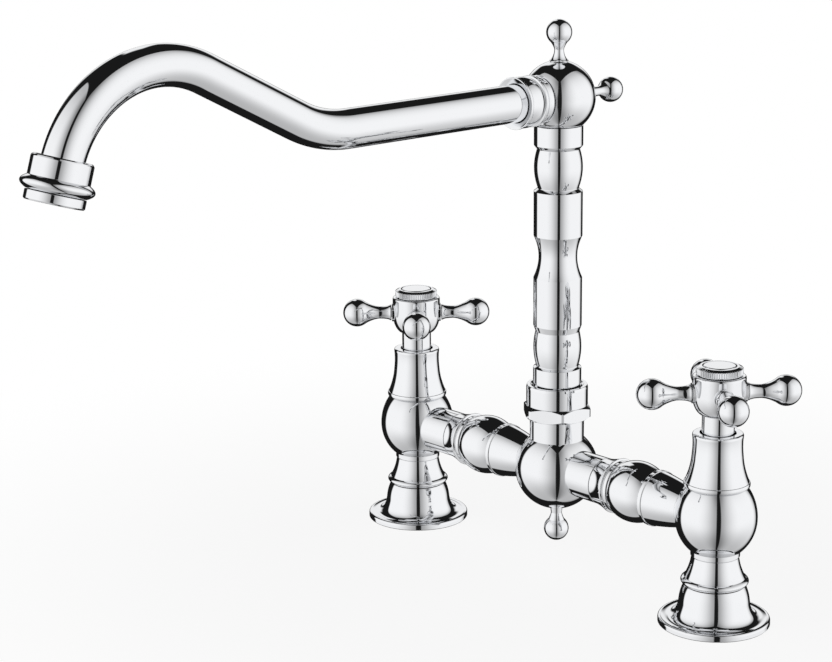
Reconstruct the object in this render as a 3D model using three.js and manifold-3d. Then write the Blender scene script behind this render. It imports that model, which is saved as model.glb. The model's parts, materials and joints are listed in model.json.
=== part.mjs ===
// A bridge kitchen faucet: two deck pillars with cross handles, a bridge between them, and a turned riser
// that swivels in the bridge and carries a swan-neck spout. Millimetres, +Z up, the deck at z = 0. The origin
// is midway between the pillars, +X runs from the hot pillar to the cold one, and the spout points to -Y.
import * as THREE from "three";
import { mergeVertices } from "three/addons/utils/BufferGeometryUtils.js";
import Module from "manifold-3d";

// ---- Driving dimensions: millimetres, degrees, counts ----

const PILLAR_CENTRES = 203.2; // between the axes of the two pillars: eight inches
const BRIDGE_HEIGHT = 50.5; // deck to the axis of the bridge
const ARM_HEIGHT = 229.8; // deck to the axis of the spout's level arm

const SEAT_GAP = 0.3; // between faces that rest on each other
const FIT_GAP = 0.4; // between a spigot and the bore that it enters, on the radius
const TURN_GAP = 0.8; // round the handle's skirt, which turns in the open mouth of the bonnet

const WATERWAY_RADIUS = 6; // bores along the bridge and up from the inlets
const WALL = 1.5; // cast and turned brass covers
const EDGE = 0.4; // broken edges and small steps

// Foot of each pillar: a bell on a flat rim, which hides the shank that comes up through the deck.
const foot = {
  rimRadius: 25.5,
  rimThickness: 3.3,
  rimRound: 1.2,
  padWidth: 2.6, // the flat ring that stands on the deck
  discHeight: 2.9,
  bellRadius: 19, // where the bell meets the disc
  shoulderRadius: 16.2,
  flareHeight: 5.2,
  shoulderHeight: 10.4,
  crownHeight: 15,
  topRadius: 13.9,
  height: 18.6,
  gasketThickness: 1.6,
};

// Shank: a threaded tube inside the foot. It screws up into the valve body and takes the supply below.
const shank = {
  radius: 12,
  start: 1.2, // the inlet end stays just above the deck
  inletRadius: 9.3, // female half-inch pipe thread
  inletDepth: 14,
  inletTaper: 1.5,
  tenonRadius: 9.5,
  tenonLength: 5.6,
};

// Valve body: a turned brass casting with a bead, a waist and a bulb, bored for the shank and the cartridge.
const body = {
  beadRadius: 15.45,
  beadHeight: 3.4,
  waistRadius: 10.75,
  waistBelow: 18.3, // from the bridge's axis down to the foot of the collar
  collarRadius: 11.2,
  collarHeight: 2.8,
  bulbRadius: 18.6,
  bulbLower: 19.8, // half heights of the bulb's ellipse, below and above its widest ring
  bulbUpper: 19.9,
  topAbove: 14.7, // from the bridge's axis up to the top face
  cavityRadius: 9.5, // where the cartridge screws in
  cavityBelow: 7.5, // from the bridge's axis down to the cavity's floor
};

// Bonnet: the bell-shaped cover between the bulb and the handle.
const bonnet = {
  lipRadius: 15,
  lipHeight: 2.2,
  lipRise: 1.1,
  seamRadius: 14,
  neckRadius: 11.15,
  neckRise: 12, // from the lip to the neck
  crownRadius: 11.5,
  crownRound: 1.2,
  mouthDepth: 1.8,
  height: 25, // above the valve body's top
};

// Quarter-turn ceramic cartridge, measured from the cavity that it screws into.
const cartridge = {
  wall: 1.5,
  chamberBelow: 4.7, // from the valve body's top face down to the chamber's roof
  flangeProud: 1.7, // how far the hexagon's corners stand out past the cavity
  flangeHeight: 5,
  neckRadius: 7,
  neckAbove: 21.3, // from the valve body's top face up
  windowWidth: 5,
  windowHeight: 7,
  windowAbove: 1.5, // from the bridge's axis to the middle of the windows
  sealThickness: 1,
  discGap: 0.7, // between the ceramic discs and the chamber's wall
  discRim: 1.6,
  discThickness: 3,
  portInner: 2,
  portFrom: 20, // degrees round the disc
  portTo: 160,
  dogHeight: 3.6, // the wide foot of the spindle, which turns the upper disc
  dogTaper: 2.4,
  spindleRadius: 3.7,
  splineDepth: 0.45,
  splineTeeth: 8,
  splineLength: 9,
};

// Cross handle: a round hub with four baluster arms, and a knurled index ring on top.
const handle = {
  stemLength: 18.6, // from the bonnet's crown up to the axes of the arms
  skirtRadius: 7.35,
  spindleBelow: 1.6, // from the axes of the arms down to the top of the spindle
  hubRadius: 12,
  hubBelow: 10.2, // from the arm axes down to where the hub meets its skirt
  hubAbove: 8.2, // and up to its top face
  hubShoulder: 1.3,
  bossRadius: 4.6,
  bossReach: 12.4,
  tenonRadius: 2.4,
  tenonDepth: 5.6,
  armRootRadius: 4,
  armNeckRadius: 3.1,
  armNeckAt: 19, // from the pillar's axis
  knobRadius: 7.1,
  knobAt: 30.2,
  cheekAngle: -40, // degrees round the knob, where the neck runs into it
  leftAngle: 48.8, // of the first arm from +X, with the valve closed
  rightAngle: 52.7,
  ringRadius: 10.6,
  ringInner: 7.75,
  ringHeight: 3.8,
  ringTeeth: 24,
  toothDepth: 0.4,
  buttonRadius: 7.35,
  buttonHeight: 4,
  buttonDome: 0.5,
  plugLength: 1.8,
  recessRadius: 6.2,
  recessDepth: 4.8,
  screwRadius: 2,
  screwLength: 12,
  screwHeadRadius: 4.2,
  screwHeadHeight: 2.6,
  screwClearance: 0.3,
};

// Bridge: each half runs, from left to right, spigot, union collar, ball and tapering sleeve.
const bridge = {
  spigotRadius: 11.1,
  spigotEnd: 32, // from the axis of the body that it belongs to
  tenonRadius: 9,
  tenonLength: 5,
  flareRadius: 13.2,
  flareLength: 8.7,
  bandLength: 0.6,
  collarLength: 12.1,
  ringRadius: 12.5,
  ballRadius: 14.5,
  ballLength: 18.9,
  valleyRadius: 11.2,
  valleyLength: 1.6,
  stepRadius: 13.2,
  stepWidth: 3,
  stepFall: 1.6, // how far the taper has fallen from the step halfway along
  tipRadius: 9.2,
  sealLength: 1.8,
  bossRadius: 9.9,
  bossProud: 1, // how far the socket's boss stands out of the body
  socketRadius: 8.3,
  socketDepth: 4,
};

// Centre body: a ball with a threaded neck, in which the riser turns.
const centre = {
  ballRadius: 20,
  ballBelow: 0.5, // from the bridge's axis down to the middle of the ball
  neckRadius: 13,
  neckAbove: 24.6, // from the bridge's axis up to the foot of the thread
  threadLength: 8.9,
  boreRadius: 9.1,
  boreAbove: 8, // from the bridge's axis up to the floor of the riser's bore
  chamberRadius: 12,
  chamberRise: 9, // from the bottom finial's seat up to the chamber's floor
};

// Union nut: a hexagon below, a round collar with a dished mouth above.
const nut = {
  wall: 1.75, // from the thread to the outside of the collar
  cornerProud: 2.1, // how far the hexagon's corners stand out past the collar
  hexHeight: 7,
  chamfer: 1.6,
  lipHeight: 3.4,
  dish: 1.6,
  dishRim: 1,
  cornerAngle: 24.6, // of one corner from +X
};

// Riser: one turned column. Its pattern runs from the nut to the ball head, spread over that height.
const riser = {
  radius: 11.5,
  bore: 6.2,
  grooveDepth: 1.35,
  grooveWidth: 2.2,
  grooveRises: [4, 15], // from the foot of the spigot up to its two ring grooves
  flangeHeight: 2.7,
  washerThickness: 1,
  lowRing: 12.8, // lengths along the column, from the flange up
  seam: 1.4,
  lowBarrel: 17.1,
  chamfer: 2.9,
  lowCylinder: 23.1,
  waist: 20.3,
  highCylinder: 20.6,
  highSeam: 2.1,
  highBarrel: 18.5,
  neckChamfer: 1.8,
  neckRing: 9.3,
  barrelRadius: 11.4,
  lowBarrelEnd: 10.05,
  highBarrelEnd: 9.6,
  barrelRise: 0.4, // how much wider a barrel's upper end is than its lower end
  waistRadius: 9.1,
};

// Ball head: carries the spout arm in front, and a finial on top and behind.
const head = {
  radius: 17.1,
  faceRadius: 11.4,
  seatRadius: 4.75, // flats on which the finials stand
  tenonLength: 8,
  socketRadius: 8.7,
  socketDepth: 6,
  waterwayRadius: 4.6,
};

const finial = {
  baseRadius: 4.5,
  neckRadius: 2.2,
  ballRadius: 6,
  tenonRadius: 1.7,
  tenonLength: 4,
  holeClearance: 0.3,
  topReach: 13.3, // from its seat to the middle of its ball
  sideReach: 17.6,
  bottomReach: 11.1,
  bottomBaseRadius: 3,
  bottomNeckRadius: 2.6,
  footShare: 0.25, // of the reach, over which the foot flares
  neckBelow: 8, // from the middle of the ball back to where the neck widens
  cheekAngle: -50,
};

// Spout: a collar on the ball head, one bent tube and the outlet.
const spout = {
  tubeRadius: 8.7,
  tubeWall: 1,
  collarLength: 16,
  collarWall: 3.2, // from the tube to the outside of the collar
  ringDepth: 1.2, // grooves beside the collar's end rings
  ringWidth: 1.6,
  lipProud: 0.1, // how far the open end's ring stands out past the collar
  lipFlare: 2.5, // how far its mouth stands off the tube
  lipDepth: 1.2,
  tubeInsert: 10.5, // how far the tube goes into the collar
  levelReach: 127.4, // riser axis to the first bend
  riseBend: 60, // radii of the two bends, on the tube's axis
  riseAngle: 27.5,
  riseLength: 52.3,
  swanBend: 48.8,
  swanAngle: 100.3,
  tailLength: 3,
};

const outlet = {
  wall: 3.8, // from the tube to the outside of the sleeve
  sleeveLength: 8.5,
  beadProud: 2.5,
  beadLength: 5.4,
  skirtLength: 4,
  threadWall: 2.1, // from the thread to the outside of the sleeve
  threadLength: 4.4,
  ledgeWidth: 1, // on which the screen lies
  mouthWall: 1.7, // from the thread to the open mouth
  screenThickness: 1.2,
  washerThickness: 1.2,
  washerWidth: 3,
  grip: 3, // how far the collar reaches up over the end of the tube
  holeRadius: 1.7,
  holeRing: 5.2,
  holes: 4,
};

// Facets round a revolved piece, by its size.
const SIDES = { large: 16, medium: 12, inner: 10, small: 8 };
const ROUND = 6; // half the corners round the tube, the discs and other extruded circles
const TUBE_STEPS = 26; // along the spout

// Heights above the deck that follow from the sizes above.
const half = PILLAR_CENTRES / 2;
const beadFoot = foot.height + SEAT_GAP;
const collarFoot = BRIDGE_HEIGHT - body.waistBelow;
const bodyTop = BRIDGE_HEIGHT + body.topAbove;
const cavityFloor = BRIDGE_HEIGHT - body.cavityBelow;
const bonnetTop = bodyTop + bonnet.height;
const armAxis = bonnetTop + handle.stemLength;
const hubTop = armAxis + handle.hubAbove;
const spindleTop = armAxis - handle.spindleBelow;
const ballMiddle = BRIDGE_HEIGHT - centre.ballBelow;
const neckTop = BRIDGE_HEIGHT + centre.neckAbove;
const threadTop = neckTop + centre.threadLength;
const flangeFoot = threadTop + SEAT_GAP; // of the riser's flange, which the union nut holds down
const riserBase = flangeFoot + riser.flangeHeight;
const spigotFoot = BRIDGE_HEIGHT + centre.boreAbove + WALL;

// Radii of pieces that go into one another.
const barrelRadius = body.cavityRadius - FIT_GAP;
const chamberRadius = barrelRadius - cartridge.wall;
const discRadius = chamberRadius - cartridge.discGap;
const spigotRadius = centre.boreRadius - FIT_GAP;
const nutBore = centre.neckRadius + FIT_GAP;
const nutRadius = centre.neckRadius + nut.wall;
const nutHole = riser.radius + FIT_GAP;
const collarRadius = spout.tubeRadius + spout.collarWall;
const outletRadius = spout.tubeRadius + outlet.wall;
const threadRadius = outletRadius - outlet.threadWall;

// ---- Finishes ----

const finish = (color, roughness, metalness) =>
  new THREE.MeshStandardMaterial({ color, roughness, metalness });
const chrome = finish(0xd9dbde, 0.06, 1);
const brass = finish(0xb5904a, 0.35, 1);
const steel = finish(0xa9abad, 0.3, 1);
const rubber = finish(0x1d1d1e, 0.8, 0);
const ceramic = finish(0xe9e6df, 0.25, 0);
const acetal = finish(0xf0efe9, 0.5, 0);

// ---- Making solids ----

const wasm = await Module();
wasm.setup();

// A closed three.js geometry as a solid that faces out and can be joined or cut.
function solidOf(geometry) {
  const bare = new THREE.BufferGeometry();
  const flat = geometry.index ? geometry.toNonIndexed() : geometry;
  bare.setAttribute("position", flat.getAttribute("position"));
  const welded = mergeVertices(bare, 1e-4);
  const faces = [];
  for (let i = 0; i < welded.index.count; i += 3) {
    const [a, b, c] = [0, 1, 2].map((k) => welded.index.getX(i + k));
    if (a !== b && b !== c && c !== a) faces.push([a, b, c]);
  }
  const build = (order) =>
    new wasm.Manifold(
      new wasm.Mesh({
        numProp: 3,
        vertProperties: new Float32Array(welded.attributes.position.array),
        triVerts: new Uint32Array(faces.flatMap(order)),
      }),
    );
  const made = build(([a, b, c]) => [a, b, c]);
  return made.volume() > 0 ? made : build(([a, b, c]) => [a, c, b]);
}

function geometryOf(solid) {
  const mesh = solid.getMesh();
  const geometry = new THREE.BufferGeometry();
  const place = new Float32Array(mesh.numVert * 3);
  for (let i = 0; i < mesh.numVert; i++) {
    place.set(mesh.vertProperties.subarray(i * mesh.numProp, i * mesh.numProp + 3), i * 3);
  }
  geometry.setAttribute("position", new THREE.BufferAttribute(place, 3));
  geometry.setIndex(new THREE.BufferAttribute(new Uint32Array(mesh.triVerts), 1));
  geometry.computeVertexNormals();
  return geometry;
}

function piece(name, solid, material) {
  const mesh = new THREE.Mesh(geometryOf(solid), material);
  mesh.name = name;
  return mesh;
}

// A profile in (radius, height), revolved about Z. It starts and ends on the axis or closes on itself.
function turned(profile, sides, steps = 2) {
  return solidOf(new THREE.LatheGeometry(profile.getPoints(steps), sides).rotateX(Math.PI / 2));
}

function rod(radius, from, to, sides) {
  const cylinder = new THREE.CylinderGeometry(radius, radius, to - from, sides);
  return solidOf(cylinder.rotateX(Math.PI / 2).translate(0, 0, (from + to) / 2));
}

function ring(outer, inner, from, to, sides) {
  const profile = new THREE.Path()
    .moveTo(inner, from)
    .lineTo(outer, from)
    .lineTo(outer, to)
    .lineTo(inner, to)
    .closePath();
  return turned(profile, sides);
}

// A flat shape of the plane z = 0 as a plate that starts at a height.
function extruded(shape, from, depth, curveSegments = 1) {
  const plate = new THREE.ExtrudeGeometry(shape, { depth, bevelEnabled: false, curveSegments });
  return solidOf(plate.translate(0, 0, from));
}

// How far from a ball's middle lies the flat on which a round piece of this radius stands.
const flatReach = (ballRadius, seatRadius) => Math.sqrt(ballRadius ** 2 - seatRadius ** 2);

const start = (radius, height) => new THREE.Path().moveTo(radius, height);
const alongX = (solid) => solid.rotate([0, 90, 0]);
const alongMinusY = (solid) => solid.rotate([90, 0, 0]);
const alongY = (solid) => solid.rotate([-90, 0, 0]);
const radians = THREE.MathUtils.degToRad;

// ---- Pillar ----

function footBell() {
  const { rimRadius, rimThickness, rimRound, bellRadius, shoulderRadius, shoulderHeight } = foot;
  const rimInner = rimRadius - foot.padWidth;
  const recess = foot.gasketThickness + SEAT_GAP;
  const boreRadius = shank.radius + FIT_GAP;
  const flare = new THREE.Vector2(shoulderRadius + EDGE, foot.flareHeight);
  const crown = new THREE.Vector2(shoulderRadius - EDGE, foot.crownHeight);
  const profile = start(rimRadius - EDGE, 0)
    .lineTo(rimRadius, EDGE)
    .lineTo(rimRadius, rimThickness - EDGE)
    .quadraticCurveTo(rimRadius, rimThickness, rimRadius - rimRound, rimThickness)
    .lineTo(rimInner - EDGE, foot.discHeight)
    .lineTo(bellRadius + EDGE, foot.discHeight - EDGE / 2)
    .quadraticCurveTo(flare.x, flare.y, shoulderRadius, shoulderHeight)
    .quadraticCurveTo(crown.x, crown.y, foot.topRadius, foot.height)
    .lineTo(boreRadius, foot.height)
    .lineTo(boreRadius, foot.height - WALL)
    .lineTo(shoulderRadius - WALL, shoulderHeight)
    .lineTo(shoulderRadius - WALL, recess + WALL)
    .lineTo(bellRadius - EDGE, recess)
    .lineTo(rimInner, recess)
    .lineTo(rimInner, 0)
    .closePath();
  return turned(profile, SIDES.large);
}

function gasket() {
  const outer = foot.rimRadius - foot.padWidth - FIT_GAP;
  return ring(outer, foot.bellRadius, 0, foot.gasketThickness, SIDES.large);
}

// Width of the valve body's bulb at a height: two half ellipses about the bridge's axis.
const bulbReach = (height) => (height < BRIDGE_HEIGHT ? body.bulbLower : body.bulbUpper);
const bulbAngle = (height) => Math.asin((height - BRIDGE_HEIGHT) / bulbReach(height));

function valveBody() {
  const { beadRadius, waistRadius, bulbRadius } = body;
  const shankBore = shank.tenonRadius + FIT_GAP;
  const boreTop = beadFoot + shank.tenonLength;
  const beadTop = beadFoot + body.beadHeight;
  const beadBulge = 2 * beadRadius - foot.topRadius; // control radius that gives the bead its width
  const collarTop = collarFoot + body.collarHeight;
  const low = bulbAngle(collarTop);
  const high = bulbAngle(bodyTop);
  const profile = start(shankBore, beadFoot)
    .lineTo(foot.topRadius, beadFoot)
    .quadraticCurveTo(beadBulge, (beadFoot + beadTop) / 2, foot.topRadius, beadTop)
    .quadraticCurveTo(waistRadius + EDGE, beadTop + 4 * EDGE, waistRadius, collarFoot)
    .lineTo(body.collarRadius, collarFoot + EDGE)
    .lineTo(body.collarRadius, collarTop)
    .absellipse(0, BRIDGE_HEIGHT, bulbRadius, body.bulbLower, low, 0, false, 0)
    .absellipse(0, BRIDGE_HEIGHT, bulbRadius, body.bulbUpper, 0, high, false, 0)
    .lineTo(body.cavityRadius, bodyTop)
    .lineTo(body.cavityRadius, cavityFloor)
    .lineTo(WATERWAY_RADIUS, cavityFloor)
    .lineTo(WATERWAY_RADIUS, boreTop)
    .lineTo(shankBore, boreTop)
    .closePath();
  return turned(profile, SIDES.medium);
}

function threadedShank() {
  const { radius, inletRadius, tenonRadius } = shank;
  const socketTop = shank.start + shank.inletDepth;
  const shoulder = beadFoot - SEAT_GAP;
  const end = shoulder + shank.tenonLength;
  const profile = start(inletRadius, shank.start)
    .lineTo(radius, shank.start)
    .lineTo(radius, shoulder)
    .lineTo(tenonRadius, shoulder)
    .lineTo(tenonRadius, end)
    .lineTo(WATERWAY_RADIUS, end)
    .lineTo(WATERWAY_RADIUS, socketTop + shank.inletTaper)
    .lineTo(inletRadius, socketTop)
    .closePath();
  return turned(profile, SIDES.medium);
}

// Spigots and bosses start inside the wall of the body that they belong to.
const PORT_ROOT = body.cavityRadius + 2;
const atBridge = (solid) => alongX(solid).translate([0, 0, BRIDGE_HEIGHT]);

// The spigot that leaves a body towards +X, with the tenon that its union collar screws on.
function spigot() {
  const shoulder = rod(bridge.spigotRadius, PORT_ROOT, bridge.spigotEnd, SIDES.medium);
  const tenon = rod(bridge.tenonRadius, PORT_ROOT, bridge.spigotEnd + bridge.tenonLength, SIDES.medium);
  return atBridge(shoulder.add(tenon));
}

function spigotBore() {
  return atBridge(rod(WATERWAY_RADIUS, 0, bridge.spigotEnd + bridge.tenonLength + 1, SIDES.small));
}

// How far out a socket's boss stands from the axis of a body with this radius.
const bossFace = (radius) => flatReach(radius, bridge.bossRadius) + bridge.bossProud;

function socketBoss(bodyRadius) {
  return atBridge(rod(bridge.bossRadius, -bossFace(bodyRadius), -PORT_ROOT, SIDES.medium));
}

function socketBore(bodyRadius) {
  const outside = -bodyRadius - 1;
  const face = -bossFace(bodyRadius);
  const facing = rod(bridge.bossRadius, outside, face, SIDES.medium);
  const socket = rod(bridge.socketRadius, outside, face + bridge.socketDepth, SIDES.medium);
  const waterway = rod(WATERWAY_RADIUS, outside, 0, SIDES.small);
  return atBridge(facing.add(socket).add(waterway));
}

const hotBody = () => valveBody().add(spigot()).subtract(spigotBore());
const coldBody = () =>
  valveBody().add(socketBoss(body.bulbRadius)).subtract(socketBore(body.bulbRadius));

function bonnetBell() {
  const { lipRadius, neckRadius, crownRadius, crownRound } = bonnet;
  const base = bodyTop + SEAT_GAP;
  const mouth = handle.skirtRadius + TURN_GAP;
  const room = body.cavityRadius + cartridge.flangeProud + FIT_GAP;
  const lipTop = base + bonnet.lipHeight;
  const neckHeight = lipTop + bonnet.neckRise;
  const inner = neckRadius - WALL + EDGE;
  const shoulder = bonnetTop - crownRound;
  const profile = start(room, base)
    .lineTo(bonnet.seamRadius, base)
    .lineTo(lipRadius, base + bonnet.lipRise)
    .lineTo(lipRadius - EDGE / 2, lipTop)
    .quadraticCurveTo(neckRadius + 2 * EDGE, (lipTop + neckHeight) / 2, neckRadius + EDGE, neckHeight)
    .quadraticCurveTo(neckRadius - EDGE / 2, (neckHeight + bonnetTop) / 2, crownRadius, shoulder)
    .quadraticCurveTo(crownRadius, bonnetTop, crownRadius - crownRound, bonnetTop)
    .lineTo(mouth, bonnetTop - EDGE)
    .lineTo(mouth, bonnetTop - bonnet.mouthDepth)
    .lineTo(inner, bonnetTop - bonnet.mouthDepth - EDGE)
    .lineTo(inner, neckHeight)
    .lineTo(room, base + cartridge.flangeHeight + EDGE)
    .closePath();
  return turned(profile, SIDES.medium);
}

function cartridgeBody() {
  const floor = cavityFloor + cartridge.sealThickness + 2 * SEAT_GAP;
  const flangeBase = bodyTop + SEAT_GAP;
  const flangeTop = flangeBase + cartridge.flangeHeight;
  const neckTopAt = bodyTop + cartridge.neckAbove;
  const roof = bodyTop - cartridge.chamberBelow;
  const spindleBore = cartridge.spindleRadius + FIT_GAP;
  const barrel = start(chamberRadius, floor)
    .lineTo(barrelRadius, floor)
    .lineTo(barrelRadius, flangeBase)
    .lineTo(cartridge.neckRadius, flangeTop)
    .lineTo(cartridge.neckRadius, neckTopAt)
    .lineTo(spindleBore, neckTopAt)
    .lineTo(spindleBore, roof)
    .lineTo(chamberRadius, roof)
    .closePath();
  const flangeRadius = body.cavityRadius + cartridge.flangeProud;
  const flange = rod(flangeRadius, flangeBase, flangeTop, 6).subtract(
    rod(cartridge.neckRadius - 1, flangeBase - 1, flangeTop + 1, SIDES.small),
  );
  const windows = new THREE.BoxGeometry(3 * barrelRadius, cartridge.windowWidth, cartridge.windowHeight);
  return turned(barrel, SIDES.inner)
    .add(flange)
    .subtract(solidOf(windows.translate(0, 0, BRIDGE_HEIGHT + cartridge.windowAbove)));
}

function seatSeal() {
  const from = cavityFloor + SEAT_GAP;
  return ring(barrelRadius, WATERWAY_RADIUS, from, from + cartridge.sealThickness, SIDES.inner);
}

// A ceramic disc with the half-ring port that passes water when the two discs' ports line up.
function ceramicDisc(from) {
  const portFrom = radians(cartridge.portFrom);
  const portTo = radians(cartridge.portTo);
  const disc = new THREE.Shape().absarc(0, 0, discRadius, 0, 2 * Math.PI);
  const port = new THREE.Path()
    .absarc(0, 0, discRadius - cartridge.discRim, portFrom, portTo, false)
    .absarc(0, 0, cartridge.portInner, portTo, portFrom, true)
    .closePath();
  disc.holes.push(port);
  return extruded(disc, from, cartridge.discThickness, 3);
}

const fixedDiscFloor = cavityFloor + cartridge.sealThickness + 3 * SEAT_GAP;
const movingDiscFloor = fixedDiscFloor + cartridge.discThickness + SEAT_GAP;
const screwHole = handle.screwRadius + handle.screwClearance;

function spindle() {
  const dogFoot = movingDiscFloor + cartridge.discThickness + SEAT_GAP;
  const dogTop = dogFoot + cartridge.dogHeight;
  const splineFoot = spindleTop - cartridge.splineLength;
  const shaft = start(0, dogFoot)
    .lineTo(discRadius, dogFoot)
    .lineTo(discRadius, dogTop)
    .lineTo(cartridge.spindleRadius, dogTop + cartridge.dogTaper)
    .lineTo(cartridge.spindleRadius, splineFoot)
    .lineTo(0, splineFoot);
  const teeth = toothedDisc(cartridge.spindleRadius, cartridge.splineDepth, cartridge.splineTeeth);
  return turned(shaft, SIDES.inner)
    .add(extruded(teeth, splineFoot - 1, cartridge.splineLength + 1))
    .subtract(rod(screwHole, splineFoot, spindleTop + 1, SIDES.small));
}

// A disc with V-shaped teeth round its edge.
function toothedDisc(radius, depth, teeth) {
  const points = Array.from({ length: 2 * teeth }, (_, i) => {
    const reach = i % 2 ? radius - depth : radius;
    const angle = (i * Math.PI) / teeth;
    return new THREE.Vector2(reach * Math.cos(angle), reach * Math.sin(angle));
  });
  return new THREE.Shape(points);
}

// ---- Cross handle, on the pillar's axis ----

function handleHub() {
  const { hubRadius, hubShoulder, skirtRadius, bossReach } = handle;
  const skirtFoot = bonnetTop - bonnet.mouthDepth;
  const hubFoot = armAxis - handle.hubBelow;
  const socket = cartridge.spindleRadius + FIT_GAP;
  const socketTop = spindleTop + SEAT_GAP;
  const recessFloor = hubTop - handle.recessDepth;
  const profile = start(socket, skirtFoot)
    .lineTo(skirtRadius, skirtFoot)
    .lineTo(skirtRadius, hubFoot)
    .quadraticCurveTo(hubRadius - EDGE, hubFoot + 3 * EDGE, hubRadius, armAxis - 4 * EDGE)
    .lineTo(hubRadius, hubTop - hubShoulder)
    .quadraticCurveTo(hubRadius, hubTop, hubRadius - hubShoulder, hubTop)
    .lineTo(handle.recessRadius, hubTop)
    .lineTo(handle.recessRadius, recessFloor)
    .lineTo(screwHole, recessFloor)
    .lineTo(screwHole, socketTop)
    .lineTo(socket, socketTop)
    .closePath();
  const boss = alongX(rod(handle.bossRadius, hubRadius - 2, bossReach, SIDES.small));
  const holeFloor = bossReach - handle.tenonDepth - 2 * SEAT_GAP;
  const hole = alongX(rod(handle.tenonRadius + FIT_GAP, holeFloor, bossReach + 1, SIDES.small));
  const quarters = [0, 90, 180, 270];
  const placed = (solid, angle) => solid.rotate([0, 0, angle]).translate([0, 0, armAxis]);
  let hub = turned(profile, SIDES.medium);
  for (const angle of quarters) hub = hub.add(placed(boss, angle));
  for (const angle of quarters) hub = hub.subtract(placed(hole, angle));
  return hub;
}

// One arm along +Z from the pillar's axis: tenon, flared root, slim neck and ball end.
function handleArm() {
  const { armNeckRadius, armNeckAt, knobRadius, knobAt } = handle;
  const foot = handle.bossReach - handle.tenonDepth;
  const root = handle.bossReach + SEAT_GAP;
  const cheek = radians(handle.cheekAngle);
  const cheekAt = knobAt + knobRadius * Math.sin(cheek);
  const profile = start(0, foot)
    .lineTo(handle.tenonRadius, foot)
    .lineTo(handle.tenonRadius, root)
    .lineTo(handle.armRootRadius, root)
    .quadraticCurveTo(armNeckRadius, root + 4 * EDGE, armNeckRadius, armNeckAt)
    .quadraticCurveTo(armNeckRadius + EDGE, (armNeckAt + cheekAt) / 2, knobRadius * Math.cos(cheek), cheekAt)
    .absarc(0, knobAt, knobRadius, cheek, Math.PI / 2, false);
  return turned(profile, SIDES.small);
}

function handleScrew() {
  const headFoot = hubTop - handle.recessDepth + SEAT_GAP;
  const shank = rod(handle.screwRadius, headFoot - handle.screwLength, headFoot + 1, SIDES.small);
  const headTop = headFoot + handle.screwHeadHeight;
  return shank.add(rod(handle.screwHeadRadius, headFoot, headTop, SIDES.small));
}

function indexRing() {
  const knurl = toothedDisc(handle.ringRadius, handle.toothDepth, handle.ringTeeth);
  knurl.holes.push(new THREE.Path().absarc(0, 0, handle.ringInner, 0, 2 * Math.PI));
  return extruded(knurl, hubTop + SEAT_GAP, handle.ringHeight, ROUND);
}

function indexButton() {
  const { buttonRadius } = handle;
  const base = hubTop + SEAT_GAP;
  const top = base + handle.buttonHeight;
  const plug = handle.recessRadius - FIT_GAP;
  const profile = start(0, base - handle.plugLength)
    .lineTo(plug, base - handle.plugLength)
    .lineTo(plug, base)
    .lineTo(buttonRadius, base)
    .lineTo(buttonRadius, top - 2 * EDGE)
    .quadraticCurveTo(buttonRadius - 4 * EDGE, top, 0, top + handle.buttonDome);
  return turned(profile, SIDES.inner);
}

// ---- Bridge: one half, along +Z from the axis of the body on its left ----

const collarStart = bridge.spigotEnd + SEAT_GAP;
const collarEnd = collarStart + bridge.collarLength;
const sleeveStart = collarEnd + SEAT_GAP;
const sealStart = bridge.spigotEnd + bridge.tenonLength + SEAT_GAP;

function unionCollar() {
  const { flareRadius, ringRadius } = bridge;
  const bore = bridge.tenonRadius + FIT_GAP;
  const flareEnd = collarStart + bridge.flareLength;
  const bandEnd = flareEnd + bridge.bandLength;
  const profile = start(bore, collarStart)
    .lineTo(bridge.spigotRadius, collarStart)
    .quadraticCurveTo(bridge.spigotRadius + EDGE, (collarStart + flareEnd) / 2, flareRadius, flareEnd)
    .lineTo(flareRadius, bandEnd)
    .lineTo(ringRadius - EDGE, bandEnd + EDGE)
    .lineTo(ringRadius, bandEnd + 3 * EDGE)
    .lineTo(ringRadius, collarEnd)
    .lineTo(bore, collarEnd)
    .closePath();
  return turned(profile, SIDES.medium);
}

// Ball and tapering sleeve with a tenon at each end. It takes up the length that the pillar centres leave.
function bridgeSleeve(bodyRadius) {
  const { ballRadius, ringRadius, valleyRadius, stepRadius, tenonRadius } = bridge;
  const tenonStart = sealStart + bridge.sealLength + SEAT_GAP;
  const ballEnd = sleeveStart + bridge.ballLength;
  const stepStart = ballEnd + bridge.valleyLength;
  const stepEnd = stepStart + bridge.stepWidth;
  const tip = half - bossFace(bodyRadius) - SEAT_GAP;
  const plug = bridge.socketRadius - FIT_GAP;
  const plugEnd = tip + bridge.socketDepth - SEAT_GAP;
  const bulge = 2 * ballRadius - (ringRadius + valleyRadius) / 2; // control radius of the ball
  const profile = start(WATERWAY_RADIUS, tenonStart)
    .lineTo(tenonRadius, tenonStart)
    .lineTo(tenonRadius, sleeveStart)
    .lineTo(ringRadius, sleeveStart)
    .quadraticCurveTo(bulge, (sleeveStart + ballEnd) / 2, valleyRadius, ballEnd)
    .lineTo(valleyRadius, ballEnd + EDGE)
    .lineTo(stepRadius, stepStart)
    .lineTo(stepRadius, stepEnd)
    .quadraticCurveTo(stepRadius - bridge.stepFall, (stepEnd + tip) / 2, bridge.tipRadius, tip)
    .lineTo(plug, tip)
    .lineTo(plug, plugEnd)
    .lineTo(WATERWAY_RADIUS, plugEnd)
    .closePath();
  return turned(profile, SIDES.medium);
}

function bridgeSeal() {
  const inner = WATERWAY_RADIUS + SEAT_GAP;
  return ring(bridge.tenonRadius, inner, sealStart, sealStart + bridge.sealLength, SIDES.inner);
}

// ---- Centre body and union nut ----

// Where the bottom finial stands.
const dropSeat = ballMiddle - flatReach(centre.ballRadius, finial.baseRadius);
const finialHole = finial.tenonRadius + finial.holeClearance;

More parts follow.
